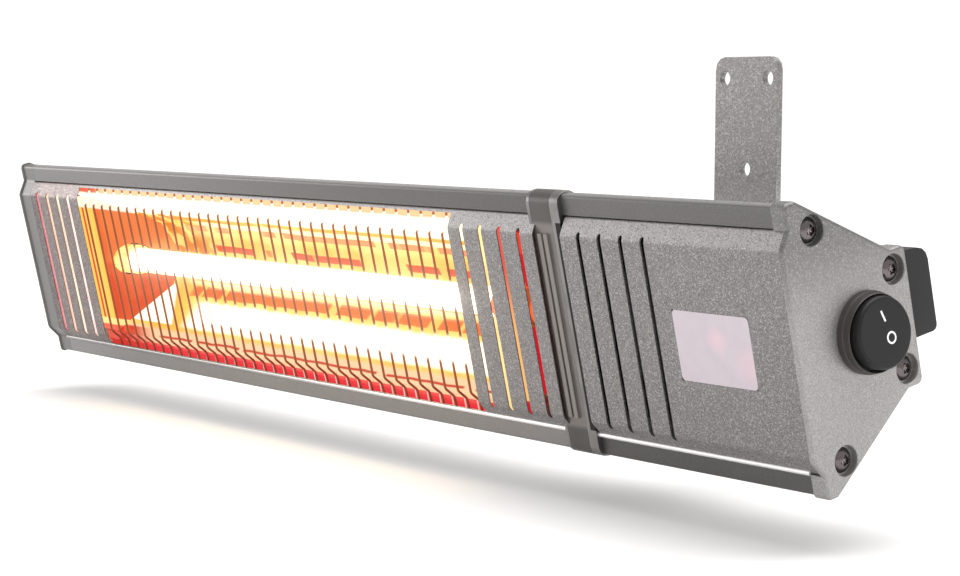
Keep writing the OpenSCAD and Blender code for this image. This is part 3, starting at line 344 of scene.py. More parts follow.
def troughPaintedGlow(name, look):
    # painted reflections: what the facets mirror is painted as glow, by height on the face
    # bands: (from, to, colour, starts at x); gaps: (from, to, colour, share of the length)
    f = Finish(name)
    x, y, z = f.axis("X"), f.axis("Y"), f.axis("Z")
    waver = f.noise(22, 2, f.stretched(1, 0.1, 0.3))
    streaks = f.noise(1.6, 3, f.stretched(0.6, 0.08, 0.08))
    height = z + (waver - 0.5) * look["waver"]
    glow = f.mix(f.between(waver, 0.4, 0.62), look["base"], look["base2"])
    soft = look["soft"]
    for low, high, colour, start in look["bands"]:
        band = f.inBand(height, (low - soft, low), (high + soft, high))
        glow = f.mix(band * f.between(x, start - 12, start + 6), glow, colour)
    for i, (low, high, colour, share) in enumerate(look["gaps"]):
        gap = f.inBand(height, (low - 0.4, low + 0.2), (high + 0.4, high - 0.2))
        row = f.noise(look["dash"], 1, f.add("VectorMath", {"operation": "ADD"}, {
            0: f.stretched(1, 0, 0), 1: (0, 40 * i, 0)}))
        dash = f.between(row, share + 0.03, share - 0.03)
        glow = f.mix(gap * dash * f.between(x, *look["dashFrom"]), glow, colour)
    wedge = f.inBand(z, *look["wedge"]) * f.between(x + z * 1.5, *look["wedgeTo"])
    glow = f.mix(wedge, glow, look["white"])
    glowBlotch = f.between(f.noise(9, 3), 0.45, 0.54) * f.between(x, *look["glowBlotchTo"])
    glowBlotch = glowBlotch * f.inBand(z, *look["glowBlotchBand"])
    glow = f.mix(glowBlotch, glow, look["glowBlotch"])
    tick = f.add("Math", {"operation": "FRACT"}, {0: x * (1 / look["wirePitch"])})
    strip = f.mix(f.between(tick, 0.14, 0.08), look["red"], look["tick"])
    glow = f.mix(f.between(z, *look["strip"]), glow, strip)
    lowLeft = (f.between(z + y * look["rise"], *look["lowLeftTop"])
               * f.between(x + y * 2, *look["lowLeftTo"]))
    glow = f.mix(lowLeft, glow, look["lowLeft"])
    glow = f.mix(x + y * look["slotLean"] > look["creamFrom"], glow, look["cream"])
    glow = f.mix(x + y * look["wallLean"] > look["behindWall"], glow, look["behind"])
    return f.shade({
        "Base Color": look["mirror"], "Metallic": 1.0,
        "Roughness": 0.16 + f.between(streaks, 0.3, 0.7) * 0.08,
        "Normal": f.bump(streaks, 0.35, 0.1),
        "Emission Color": glow, "Emission Strength": 1.0,
    })


def wallPaintedGlow(name, look):  # painted glow and reflections on both end walls of the reflector, with their front flanges
    f = Finish(name)
    x, y, z = f.axis("X"), f.axis("Y"), f.axis("Z")
    patch = f.between(f.noise(16, 3), 0.3, 0.7)
    onLeft = x < look["middle"]
    glow = f.mix(f.between(z, *look["split"]), look["low"], look["high"])
    glow = f.mix(patch * 0.3, glow, look["patch"])
    glow = f.mix(f.between(y, *look["front"]) * 0.5, glow, look["low"])
    left = f.mix(f.inBand(x, *look["lineX"]), look["flange"], look["line"])
    right = f.mix(f.between(z, *look["rightZ"]), look["rightLow"], look["rightHigh"])
    far = f.mix(f.between(z, *look["farZ"]), look["farLow"], look["rightHigh"])
    right = f.mix(f.between(x, *look["farX"]), right, far)
    glow = f.mix(y < look["flangeBack"], glow, f.mix(onLeft, right, left))
    level = z + y * look["rise"]  # the painted bright and red strips run down towards the back
    for colour, start in look["strips"]:
        glow = f.mix(f.between(level, *start) * onLeft, glow, colour)
    return f.shade({
        "Base Color": look["mirror"], "Metallic": 1.0, "Roughness": 0.25 + patch * 0.05,
        "Normal": f.bump(f.noise(9, 2), 0.25, 0.1),
        "Emission Color": glow, "Emission Strength": 1.0,
    })


def wirePaintedGlow(name, look):
    # painted glow: the wires are no lamp; their glow is painted, and in front of the lamp and of
    # the brightest band it swallows the wires
    f = Finish(name)
    x, z = f.axis("X"), f.axis("Z")
    vanish = f.inBand(z, *look["bend"])
    for low, high, start in look["bright"]:
        vanish = vanish + (f.inBand(z, (low - 2, low + 1), (high + 2, high - 1))
                           * f.between(x, start - 14, start + 14))
    glow = f.mix(f.between(z, *look["footFrom"]), look["middle"], look["foot"])
    glow = f.mix(f.between(z, *look["topFrom"]), glow, look["top"])
    glowAndRoughMottle = f.between(f.noise(3, 2), 0.3, 0.7)
    glow = f.mix(glowAndRoughMottle * 0.4, glow, look["patch"])
    return f.shade({
        "Base Color": look["colour"], "Metallic": 0.7, "Roughness": 0.45 + glowAndRoughMottle * 0.08,
        "Emission Color": f.mix(vanish, glow, look["swallowed"]), "Emission Strength": 1.0,
    })


def linerPaintedGlow(name, look):
    # the sheet is no lamp: its glow is painted light from the lamp
    f = Finish(name)
    along = f.ramp(f.axis("X") * (1 / look["long"]), look["stops"])
    patch = f.between(f.noise(9, 2), 0.35, 0.65)
    return f.shade({
        "Base Color": (0.5, 0.4, 0.35), "Roughness": 0.5 + patch * 0.1,
        "Emission Color": f.mix(patch * 0.35, along, look["patch"]), "Emission Strength": 1.0,
    })


finishes = {
    # the housing paint carries painted shade on its lips, the upper lip darker towards the control
    # end
    "housing": sandPaint("housingPaint", {
        "colour": (0.26, 0.25, 0.247), "grain": 0.65, "strong": 0.6, "metal": 0.6,
        "rough": 0.42, "lips": 9, "lipPaintedShade": (0.60, 0.38, 0.82)}),
    # painted shade: the control housing is a darker copy of the housing paint, with its own painted
    # lip shade
    "controlHousing": sandPaint("controlHousingPaint", {
        "colour": (0.215, 0.208, 0.206), "grain": 0.65, "strong": 0.6, "metal": 0.6,
        "rough": 0.42, "lips": 9, "lipPaintedShade": (0.54, 0.54, 0.42)}),
    # the panel paint has painted shade at its left end beside the cap, a painted highlight on its
    # upper bend and a painted glow tint left of the window
    "panel": sandPaint("panelPaint", {
        "colour": (0.192, 0.183, 0.182), "grain": 0.55, "strong": 0.66, "metal": 0.6,
        "rough": 0.46, "slope": 0.7, "warmEnd": (0.84, 0.68, 0.64),
        "fades": [("X", 8, 26, 0.5, 1), ("Z", 41.5, 43.5, 1, 1.7)]}),
    # painted light: the cap paint is lighter towards the bottom and darker towards the top
    "cap": sandPaint("capPaint", {
        "colour": (0.235, 0.230, 0.226), "grain": 0.6, "strong": 0.25, "metal": 0.6,
        "rough": 0.42, "fades": [("Z", 8, 46, 1.28, 0.70)]}),
    "leftCap": satinPaint("leftCapPaint", (0.15, 0.147, 0.143), 0.40),
    "bead": beadHighlightPaint("beadHighlightPaint", {
        "far": (0.26, 0.25, 0.245), "near": (0.88, 0.87, 0.86), "fade": (120, 520)}),
    # painted light: the plate is painted lighter towards its lower end
    "plate": sandPaint("plateSpeckle", {
        "colour": (0.225, 0.218, 0.214), "grain": 0.75, "strong": 0.45, "metal": 0.6,
        "rough": 0.45, "fades": [("Z", -72, -40, 1.7, 1)]}),
    # the band's middle is painted lighter, against the shade in its recess
    "band": bandPaint("bandEnamel", {
        "dark": (0.055, 0.050, 0.047), "ridge": (0.19, 0.174, 0.162), "recess": 2.6}),
    "flange": flangeMetal("flangeMetal", {
        "colour": (0.20, 0.193, 0.19), "seam": (0.02, 0.02, 0.02),
        "seamAt": (526.9, 9, 47)}),
    "seal": softRubber("sealRubber", (0.03, 0.03, 0.03)),
    "zinc": drawnMetal("zincPlate", (0.56, 0.56, 0.54), 0.34, (1, 1, 1)),
    "darkChrome": drawnMetal("darkChrome", (0.16, 0.14, 0.14), 0.16, (1, 1, 1), depth=0.01),
    "shield": drawnMetal("shieldSheet", (0.70, 0.69, 0.67), 0.35),
    "clip": drawnMetal("clipSteel", (0.62, 0.58, 0.52), 0.3, (1, 1, 1)),
    # painted light: the lamp bases glow with the lamp's light painted on them
    "ceramic": realAndPaintedGlow("realAndPaintedGlow", {
        "hot": seen(255, 224, 120), "cooler": seen(236, 170, 40),
        "farEnd": seen(232, 84, 24), "farEndX": -200}),
    "sleeve": mouldedPlastic("braidedSleeve", (0.80, 0.77, 0.70), 0.85, 0.5, 0.15),
    "switch": mouldedPlastic("switchPlastic", (0.048, 0.042, 0.040), 0.38, 0.4, 0.02, 0.32),
    "rocker": mouldedPlastic("rockerPlastic", (0.009, 0.009, 0.010), 0.42, 0.5, 0.015, 0.25),
    "box": mouldedPlastic("boxPlastic", (0.014, 0.014, 0.015), 0.48, 0.7, 0.05, 0.28),
    "module": mouldedPlastic("modulePlastic", (0.03, 0.03, 0.03), 0.3),
    "part": mouldedPlastic("componentPlastic", (0.02, 0.02, 0.024), 0.45),
    "pillar": mouldedPlastic("pillarPlastic", (0.10, 0.10, 0.09), 0.5),
    "block": mouldedPlastic("blockPlastic", (0.72, 0.70, 0.64), 0.4),
    # painted shade: the board is painted near black, as the shade behind the control slots
    "board": mouldedPlastic("boardMask", (0.008, 0.010, 0.012), 0.35, 2.0),
    "brass": drawnMetal("bladeBrass", (0.72, 0.52, 0.20), 0.25, (1, 1, 1)),
    "lead": mouldedPlastic("siliconeLead", (0.30, 0.04, 0.02), 0.45),
    "mark": mouldedPlastic("markInk", (0.82, 0.82, 0.82), 0.45),
    "pad": softRubber("padRubber", (0.025, 0.025, 0.025)),
    "wires": wirePaintedGlow("guardWire", {
        "colour": (0.07, 0.026, 0.014), "middle": seen(132, 62, 26), "patch": seen(160, 82, 34),
        "foot": seen(112, 22, 22), "top": seen(176, 96, 48),
        "swallowed": seen(255, 250, 230, much=1.3),
        "bright": [(4.2, 15.2, 136), (-23.4, -11.6, 200)],
        "bend": ((38.4, 40), (46.6, 45.6)), "footFrom": (-38, -40), "topFrom": (46, 47)}),
    "trough": troughPaintedGlow("troughPaintedGlow", {
        "mirror": (0.10, 0.05, 0.025), "waver": 1.6, "soft": 2.0,
        "wallLean": 0.869, "behindWall": 479.6, "slotLean": 1.45, "rise": 0.386,
        "wirePitch": 10.357, "strip": (-44.6, -45.0), "dash": 19, "dashFrom": (118, 126),
        "wedge": ((-35.8, -35.2), (-18, -20)), "wedgeTo": (74, 70),
        "glowBlotchTo": (158, 128), "glowBlotchBand": ((-12, -8), (30, 27)),
        "lowLeftTop": (-32.4, -33.6), "lowLeftTo": (142, 108),
        "base": seen(255, 216, 118), "base2": seen(252, 194, 84),
        "white": seen(255, 250, 226, much=1.35), "red": seen(232, 48, 60),
        "tick": seen(255, 190, 180), "behind": seen(196, 18, 40), "glowBlotch": seen(214, 126, 34),
        "lowLeft": seen(210, 50, 42), "cream": seen(252, 226, 156), "creamFrom": 466,
        "bands": [(-44.8, -42.6, seen(250, 196, 150), 60), (-42.0, -38.6, seen(246, 210, 166), 60),
                  (-34.6, -25.8, seen(255, 250, 226, much=1.4), 142),
                  (-16, -3, seen(255, 234, 164), 118),
                  (19.8, 22.4, seen(255, 246, 206), 150),
                  (28.0, 44.2, seen(255, 248, 220, much=1.4), 50),
                  (45.0, 58, seen(222, 66, 34), 30), (45.0, 58, seen(252, 206, 150), 86)],
        "gaps": [(-40.9, -40.2, seen(200, 44, 30), 0.62), (-22.4, -18.2, seen(236, 96, 24), 0.58),
                 (-14.8, -14.0, seen(236, 160, 90), 0.7), (2.8, 6.8, seen(224, 54, 18), 0.53),
                 (15.4, 18.8, seen(226, 84, 34), 0.53), (23.4, 26.4, seen(242, 140, 40), 0.66)]}),
    "endWall": wallPaintedGlow("endWallPaintedGlow", {
        "mirror": (0.12, 0.05, 0.02), "low": seen(214, 58, 32), "high": seen(228, 106, 50),
        "patch": seen(246, 140, 72), "flange": seen(255, 202, 84), "line": seen(204, 52, 14),
        "rightLow": seen(250, 192, 122), "rightHigh": seen(224, 92, 80),
        "farLow": seen(178, 26, 36), "flangeBack": 10.02, "middle": 300, "rise": 0.386,
        "split": (-1.5, 1.5), "front": (14, 10), "lineX": ((57.6, 58.2), (60.8, 60.2)),
        "rightZ": (-12, 26), "farZ": (-12, 0), "farX": (481, 483),
        "strips": [(seen(255, 248, 222), (37.4, 38.6)), (seen(255, 232, 150), (-29.5, -30.5)),
                   (seen(230, 84, 70), (-33.6, -34.4))]}),
    "liner": linerPaintedGlow("linerPaintedGlow", {
        "long": 66, "patch": seen(232, 150, 150),
        "stops": [(0.22, seen(216, 118, 128)), (0.46, seen(255, 226, 190)),
                  (0.66, seen(255, 248, 216)), (0.88, seen(255, 246, 240))]}),
    "quartz": glowingQuartz("glowingQuartz", {
        "coreTo": 4.6, "rimFrom": 6.6, "strength": 4.0,
        "core": (1.0, 0.84, 0.60), "rim": (0.40, 0.27, 0.11)}),
    "filament": realAndPaintedGlow("glowingCoil", {"hot": (6, 4, 2), "cooler": (4, 2, 0.8)}),
}


displayGlow = {"face": (0.49, 0.435, 0.475), "pink": (0.30, 0.02, 0.06),
               "spots": [(623.5, 3, 8, 0.42), (641, -6, 12, 0.34)]}


def displayWhite():
    f = Finish("displayWhite")
    haze = f.noise(9, 2)
    glow = 0
    for x, z, reach, much in displayGlow["spots"]:
        away = f.add("VectorMath", {"operation": "DISTANCE"}, {0: f.spot(), 1: (x, 1, z)}, 1)
        glow = f.between(away, reach, reach * 0.15) * much + glow
    return f.shade({
        "Base Color": f.mix(f.between(haze, 0.3, 0.7), displayGlow["face"],
                            scaled(displayGlow["face"], 1.05)),
        "Roughness": 0.22, "Coat Weight": 0.6,
        "Emission Color": f.mix(glow, (0, 0, 0), displayGlow["pink"]),
        "Emission Strength": 1.0,
    })


finishes["display"] = displayWhite()


def newMesh(name, bm):
    bmesh.ops.recalc_face_normals(bm, faces=bm.faces)
    mesh = bpy.data.meshes.new(name)
    bm.to_mesh(mesh)
    bm.free()
    return mesh


def ease(bm, width, angle=32, segments=2):
    sharp = [e for e in bm.edges if len(e.link_faces) == 2
             and e.calc_face_angle(0) > math.radians(angle)]
    if sharp and width:
        bmesh.ops.bevel(bm, geom=sharp, offset=width, segments=segments, profile=0.5,
                        affect="EDGES", clamp_overlap=True)


def put(name, mesh, finish, body="heater", stands=(), place=heaterPlace, smooth=42):
    piece = bpy.data.objects.new(name, mesh)
    bpy.context.scene.collection.objects.link(piece)
    piece.matrix_world = place
    mesh.materials.clear()
    mesh.materials.append(finishes[finish])
    for face in mesh.polygons:
        face.use_smooth = True
        face.material_index = 0
    mesh.set_sharp_from_angle(angle=math.radians(smooth))
    even = piece.modifiers.new("evenNormals", "WEIGHTED_NORMAL")
    even.keep_sharp = True
    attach(piece, body)
    if stands:
        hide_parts(*stands)
    return piece


def arced(points, radii, closed, steps=5):
    made = []
    last = len(points) - 1
    for i, p in enumerate(points):
        r = radii[i]
        if r == 0 or (not closed and i in (0, last)):
            made.append(Vector(p))
            continue
        here = Vector(p)
        a = (Vector(points[i - 1]) - here).normalized()
        b = (Vector(points[(i + 1) % (last + 1)]) - here).normalized()
        half = a.angle(b) / 2
        middle = here + (a + b).normalized() * r / math.sin(half)
        start, end = here + a * r / math.tan(half) - middle, here + b * r / math.tan(half) - middle
        turn = math.pi - 2 * half
        for k in range(steps + 1):
            t = k / steps
            spin = (start * math.sin((1 - t) * turn) + end * math.sin(t * turn)) / math.sin(turn)
            made.append(middle + spin)
    return made


def across(path, i):  # square to the path at its point i
    ahead = (path[min(i + 1, len(path) - 1)] - path[max(i - 1, 0)]).normalized()
    return Vector((ahead[1], -ahead[0]))


def setBack(path, much):
    return [p + across(path, i) * much for i, p in enumerate(path)]


def bothSides(path, thick):
    return list(path) + setBack(path, thick)[::-1]


def drawAlong(ring, x0, x1):
    bm = bmesh.new()
    ends = [[bm.verts.new((x * mm, p[0] * mm, p[1] * mm)) for p in ring] for x in (x0, x1)]
    n = len(ring)
    for i in range(n):
        j = (i + 1) % n
        bm.faces.new((ends[0][i], ends[0][j], ends[1][j], ends[1][i]))
    bm.faces.new(ends[0][::-1])
    bm.faces.new(ends[1])
    return bm


def slab(outline, y0, y1):
    bm = bmesh.new()
    ends = [[bm.verts.new((p[0] * mm, y * mm, p[1] * mm)) for p in outline] for y in (y0, y1)]
    n = len(outline)
    for i in range(n):
        j = (i + 1) % n
        bm.faces.new((ends[0][i], ends[1][i], ends[1][j], ends[0][j]))
    bm.faces.new(ends[0])
    bm.faces.new(ends[1][::-1])
    return bm


def cutAway(bm, cutters):
    tools = bmesh.new()
    for cutter in cutters:
        piece = newMesh("cutter", cutter)
        tools.from_mesh(piece)
        bpy.data.meshes.remove(piece)
    whole = bpy.data.objects.new("whole", newMesh("whole", bm))
    tool = bpy.data.objects.new("tool", newMesh("tool", tools))
    for thing in (whole, tool):
        bpy.context.scene.collection.objects.link(thing)
    cut = whole.modifiers.new("cut", "BOOLEAN")
    cut.operation, cut.solver, cut.object = "DIFFERENCE", "EXACT", tool
    found = whole.evaluated_get(bpy.context.evaluated_depsgraph_get())
    result = bmesh.new()
    result.from_mesh(found.to_mesh())
    found.to_mesh_clear()
    for thing in (whole, tool):
        mesh = thing.data
        bpy.data.objects.remove(thing)
        bpy.data.meshes.remove(mesh)
    bmesh.ops.remove_doubles(result, verts=result.verts, dist=0.002 * mm)
    return result


def spun(profile, around, sides=64, axis="X"):
    # profile: (height, radius) pairs, open, from the middle outwards and back
    bm = bmesh.new()
    rings = []
    for h, r in profile:
        if r == 0:
            rings.append([bm.verts.new((h * mm, 0, 0))])
        else:
            rings.append([
                bm.verts.new((h * mm, r * mm * math.cos(2 * math.pi * k / sides),
                              r * mm * math.sin(2 * math.pi * k / sides)))
                for k in range(sides)])
    for a, b in zip(rings, rings[1:]):
        joinRings(bm, a, b)
    bmesh.ops.translate(bm, verts=bm.verts, vec=Vector(around) * mm)
    return bm


def joinRings(bm, a, b):
    n = max(len(a), len(b))
    for k in range(n):
        j = (k + 1) % n
        quad = [a[k % len(a)], a[j % len(a)], b[j % len(b)], b[k % len(b)]]
        corners = [v for i, v in enumerate(quad) if v not in quad[:i]]
        if len(corners) > 2:
            bm.faces.new(corners)


def roundWire(bm, path, x, r, sides=8):
    rings = []
    for i, p in enumerate(path):
        out = across(path, i)
        ring = []
        for k in range(sides):
            a = 2 * math.pi * (k + 0.5) / sides
            c = p + out * (r * math.sin(a))
            ring.append(bm.verts.new(((x + r * math.cos(a)) * mm, c[0] * mm, c[1] * mm)))
        rings.append(ring)
    for a, b in zip(rings, rings[1:]):
        joinRings(bm, a, b)
    bm.faces.new(rings[0][::-1])
    bm.faces.new(rings[-1])


camera = {"at": (795.3, -737.5, -16.4), "azimuth": 53.79, "elevation": 4.34, "roll": 0.44,
          "lens": 86.85, "shift": (0.0006, -0.0003)}


def makeCamera(look):
    az, el, roll = (math.radians(look[k]) for k in ("azimuth", "elevation", "roll"))
    ahead = Vector((-math.sin(az) * math.cos(el), math.cos(az) * math.cos(el), -math.sin(el)))
    right = Vector((math.cos(az), math.sin(az), 0))
    up = right.cross(ahead)
    right, up = (right * math.cos(roll) + up * math.sin(roll),
                 up * math.cos(roll) - right * math.sin(roll))
    data = bpy.data.cameras.new("camera")
    data.lens, data.sensor_width = look["lens"], 36
    data.shift_x, data.shift_y = look["shift"]
    data.clip_start, data.clip_end = 0.02, 60
    eye = bpy.data.objects.new("camera", data)
    bpy.context.scene.collection.objects.link(eye)
    turn = Matrix((right, up, -ahead)).transposed().to_4x4()
    eye.matrix_world = Matrix.Translation(Vector(look["at"]) * mm) @ turn
    bpy.context.scene.camera = eye


makeCamera(camera)

# the room lights the heater, and the camera sees the sky behind it: (colour, strength)
stage = {"floorZ": -190, "floorSize": 60, "floor": (0.88, 0.88, 0.88),
         "room": ((1, 0.985, 0.975), 0.75), "sky": ((1, 1, 1), 1.05),
         "sun": 2.0, "sunSpread": 60, "sunTurn": (-12, 0, 0)}
lamps = {
    # name: (place in metres, aims at, size, power, colour)
    "overhead": ((0.1, -0.2, 1.3), (-0.1, -0.1, -0.1), 1.2, 8, (1, 1, 1)),
    "rightLow": ((1.3, 0.5, -0.1), (0.15, -0.1, -0.12), 0.5, 3, (1, 0.98, 0.96)),
    "farLeft": ((-2.4, -1.1, 0.1), (-0.3, -0.1, -0.1), 1.2, 22, (1, 1, 1)),
}


def makeStage():
    bm = bmesh.new()
    bmesh.ops.create_grid(bm, x_segments=2, y_segments=2, size=stage["floorSize"] / 2)
    floor = bpy.data.objects.new("floor", newMesh("floor", bm))
    bpy.context.scene.collection.objects.link(floor)
    floor.location = (0, 0, stage["floorZ"] * mm)
    f = Finish("paleFloor")
    patch = f.noise(900, 2)
    floor.data.materials.append(f.shade({
        "Base Color": f.mix(patch, stage["floor"], scaled(stage["floor"], 0.99)),
        "Roughness": 0.9}))
    world = bpy.data.worlds.new("paleRoom")
    bpy.context.scene.world = world
    world.use_nodes = True
    n = Nodes(world.node_tree)
    room, sky = (n.add("Background", None, {"Color": colour, "Strength": strength})
                 for colour, strength in (stage["room"], stage["sky"]))
    toCamera = n.add("LightPath", take="Is Camera Ray")
    both = n.add("MixShader", None, {0: toCamera, 1: room, 2: sky})
    n.add("OutputWorld", None, {"Surface": both})
    sun = bpy.data.objects.new("skylight", bpy.data.lights.new("skylight", "SUN"))
    sun.data.energy, sun.data.angle = stage["sun"], math.radians(stage["sunSpread"])
    sun.rotation_euler = [math.radians(a) for a in stage["sunTurn"]]
    bpy.context.scene.collection.objects.link(sun)
    for name, (at, aim, size, power, colour) in lamps.items():
        data = bpy.data.lights.new(name, "AREA")
        data.size, data.energy, data.color = size, power, colour
        light = bpy.data.objects.new(name, data)
        bpy.context.scene.collection.objects.link(light)
        light.location = at
        light.rotation_euler = (Vector(aim) - Vector(at)).to_track_quat("-Z", "Y").to_euler()


makeStage()
bpy.context.scene.view_settings.view_transform = "Standard"
bpy.context.scene.view_settings.look = "None"


def makeBloom(look):
    scene = bpy.context.scene
    scene.use_nodes = True
    n = Nodes(scene.node_tree, "CompositorNode")
    image = n.add("RLayers", take="Image")
    glare = n.add("Glare", {"glare_type": "BLOOM", "quality": "HIGH"},
                  {"Image": image, **look}, "Image")
    n.add("Composite", None, {"Image": glare})


makeBloom({"Threshold": 1.3, "Smoothness": 0.2, "Strength": 0.42, "Size": 0.12,
           "Saturation": 0.9})
print("camera, floor and light")

# the body pieces keep their CAD form and get eased edges
eased = {
    # node: (finish, material slot, width of the eased edge in mm)
    "heating_housing": ("housing", "housing_paint", 0.25),
    "control_housing": ("controlHousing", "housing_paint", 0.25),
    "left_gasket": ("leftCap", "gasket", 0.1),
    "right_gasket": ("seal", "gasket", 0.1),
    "divider_band": ("band", "band", 0.5),
    "divider_flange_left": ("flange", "flange", 0.3),
    "divider_flange_right": ("flange", "flange", 0.6),
    "lamp_tube": ("quartz", "quartz", 0),
    "rear_box": ("box", "box_plastic", 0.4),
    "rear_box_seal": ("seal", "gasket", 0.1),
    "rear_box_screws": ("zinc", "zinc", 0.2),
    "gland_body": ("box", "box_plastic", 0.3),
    "gland_nut": ("box", "box_plastic", 0.5),
    "tilt_bracket": ("plate", "bracket_paint", 0.4),
    "bracket_pads": ("pad", "pad_rubber", 0.2),
    "bracket_screws": ("zinc", "zinc", 0.4),
    "wall_plate": ("plate", "bracket_paint", 0.4),
    "hinge_fork": ("plate", "bracket_paint", 0.4),
    "fork_rivets": ("zinc", "zinc", 0.3),
    "pivot_bolt": ("zinc", "zinc", 0.4),
    "pivot_nut": ("zinc", "zinc", 0.4),
    "pivot_washers": ("zinc", "zinc", 0.15),
}


def easedCopy(node, finish, slot, width):
    body = nodes[node]["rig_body"]
    place = Matrix.Identity(4) if body == "wall_bracket" else heaterPlace
    bm = bmesh.new()
    bm.from_mesh(nodes[node].data)
    bmesh.ops.transform(bm, matrix=place.inverted(), verts=bm.verts)
    bmesh.ops.remove_doubles(bm, verts=bm.verts, dist=0.004 * mm)
    bmesh.ops.dissolve_limit(bm, angle_limit=math.radians(0.6), verts=bm.verts, edges=bm.edges)
    ease(bm, width * mm)
    words = node.split("_")
    name = words[0] + "".join(w.capitalize() for w in words[1:])
    return put(name, newMesh(name, bm), finish, body, (node,), place)


for node, look in eased.items():
    easedCopy(node, *look)
print("body pieces with eased edges")

# the inner parts keep their CAD form
plain = {
    "joining_studs": "zinc", "heat_shield": "shield", "lamp_clip_left": "clip",
    "lamp_clip_right": "clip", "lamp_base_left": "ceramic", "lamp_base_right": "ceramic",
    "lamp_lead_left": "sleeve", "lamp_lead_right": "sleeve", "display_module": "module",
    "remote_receiver": "module", "control_board": "board", "board_pillars": "pillar",
    "board_screws": "zinc", "relay": "part", "board_components": "part",
    "terminal_block": "block", "switch_body": "switch", "switch_pin": "zinc",
    "switch_terminals": "brass", "switch_leads": "lead", "bracket_nuts": "zinc",
    "lamp_filament": "filament",
}
for node, finish in plain.items():
    mesh = nodes[node].data
    for i in range(max(1, len(mesh.materials))):
        if mesh.materials:
            mesh.materials[i] = finishes[finish]
        else:
            mesh.materials.append(finishes[finish])
print("inner parts")

# the section that both front panels share, as (back, up)
panel = {
    "path": [(8.1, -55), (8.1, -49.4), (5.6, -49.4), (1, -42.1),
             (1, 42.1), (5.6, 49.4), (8.1, 49.4), (8.1, 55)],
    "radii": [0, 0.6, 1.2, 4, 4, 1.2, 0.6, 0], "slotH": 88, "edge": 0.2,
    "cutFrom": -3, "cutTo": 7.2, "tailBack": 11,
}
# slots: (width, places). The bent-back tails end sooner than the face: (from, to, behind y, z)
heatingPanel = {"x0": 9, "x1": 512.2, "thick": 0.5, "opening": (71, 448.5, -48, 48),
                "slots": [(3.8, (17.8, 31.4, 45.0, 58.6)),
                          (2.7, (458.7, 473.03, 487.37, 501.7))],
                "tails": (508.5, 514, 3.4, ((-57, -45.9), (45.9, 57)))}
# the control panel's face runs on over the right cap
controlPanel = {"x0": 531.8, "x1": 668.1, "thick": 1.0, "opening": (598.2, 643.8, -16, 14.4),
                "slots": [(2.5, (544, 558, 572, 586))],
                "tails": (661, 670, 6.2, ((-57, -48.9), (48.9, 57)))}


def block(x0, x1, z0, z1, y0=panel["cutFrom"], y1=panel["cutTo"]):
    return slab([(x0, z0), (x1, z0), (x1, z1), (x0, z1)], y0, y1)


def slotCutter(x, wide):
    r, straight = wide / 2, (panel["slotH"] - wide) / 2
    outline = [(x + r * math.cos(a), straight + r * math.sin(a))
               for a in (math.pi * k / 10 for k in range(11))]
    outline += [(x + r * math.cos(a), -straight + r * math.sin(a))
                for a in (math.pi + math.pi * k / 10 for k in range(11))]
    return slab(outline, panel["cutFrom"], panel["cutTo"])


def makePanel(name, node, look):
    path = arced(panel["path"], panel["radii"], False)
    sheet = drawAlong(bothSides(path, look["thick"]), look["x0"], look["x1"])
    cutters = [block(*look["opening"])]
    for wide, places in look["slots"]:
        cutters += [slotCutter(x, wide) for x in places]
    tailX, endX, behind, heights = look["tails"]
    cutters += [block(tailX, endX, z0, z1, behind, panel["tailBack"]) for z0, z1 in heights]
    bm = cutAway(sheet, cutters)
    ease(bm, panel["edge"] * mm, 50)
    put(name, newMesh(name, bm), "panel", stands=(node,))


# the wires are straight in front of the lamp and bend back to the edges of the window
guard = {"count": 36, "from": 80, "to": 442.5, "radius": 0.6,
         "path": [(5.6, -49.3), (5.2, -43.6), (1, -38.6), (1, 38.6), (5.2, 43.6), (5.6, 49.3)],
         "radii": [0, 2, 3, 3, 2, 0]}


def makeGuardWires():
    r = guard["radius"]
    step = (guard["to"] - guard["from"]) / (guard["count"] - 1)
    path = setBack(arced(guard["path"], guard["radii"], False, 3), r)
    bm = bmesh.new()
    for i in range(guard["count"]):
        roundWire(bm, path, guard["from"] + i * step, r)
    put("guardWires", newMesh("guardWires", bm), "wires", smooth=80)


makePanel("heatingPanel", "heating_panel", heatingPanel)
makeGuardWires()
makePanel("controlPanel", "control_panel", controlPanel)
print("front panels")

for node, finish in (("reflector", "trough"), ("reflector_end_left", "endWall"),
                     ("reflector_end_right", "endWall")):
    easedCopy(node, finish, "bright_reflector", 0.1)

# a sheet behind the left slots, from the seal to the window, bright with painted glow
endLiner = {"path": [(6.6, -47.8), (2.5, -41.6), (2.5, 41.6), (6.6, 47.8)],
            "x0": 9, "x1": 66, "thick": 0.4}


def makeEndLiner():
    path = [Vector(p) for p in endLiner["path"]]
    bm = drawAlong(bothSides(path, endLiner["thick"]), endLiner["x0"], endLiner["x1"])
    put("leftEndLiner", newMesh("leftEndLiner", bm), "liner")


makeEndLiner()
print("reflector")

# the display window has a wider lip behind the panel
display = {"x": 621, "z": -0.8, "wide": 45.4, "high": 30.2, "corner": 2, "edge": 0.3,
           "front": 1.0, "back": 2.2, "lip": 3, "lipAt": 2.05, "lipThick": 1.4}


def makeDisplay():
    look = display
    x, z, w, h = look["x"], look["z"], look["wide"] / 2, look["high"] / 2
    corners = arced([(x - w, z - h), (x + w, z - h), (x + w, z + h), (x - w, z + h)],
                    [look["corner"]] * 4, True, 4)
    bm = slab(corners, look["front"], look["back"])
    ease(bm, look["edge"] * mm, 50)
    w, h = w + look["lip"], h + look["lip"]
    front, back = look["lipAt"], look["lipAt"] + look["lipThick"]
    lip = newMesh("lip", block(x - w, x + w, z - h, z + h, front, back))
    bm.from_mesh(lip)
    bpy.data.meshes.remove(lip)
    put("displayWindow", newMesh("displayWindow", bm), "display",
        stands=("display_window",))


makeDisplay()
print("display")

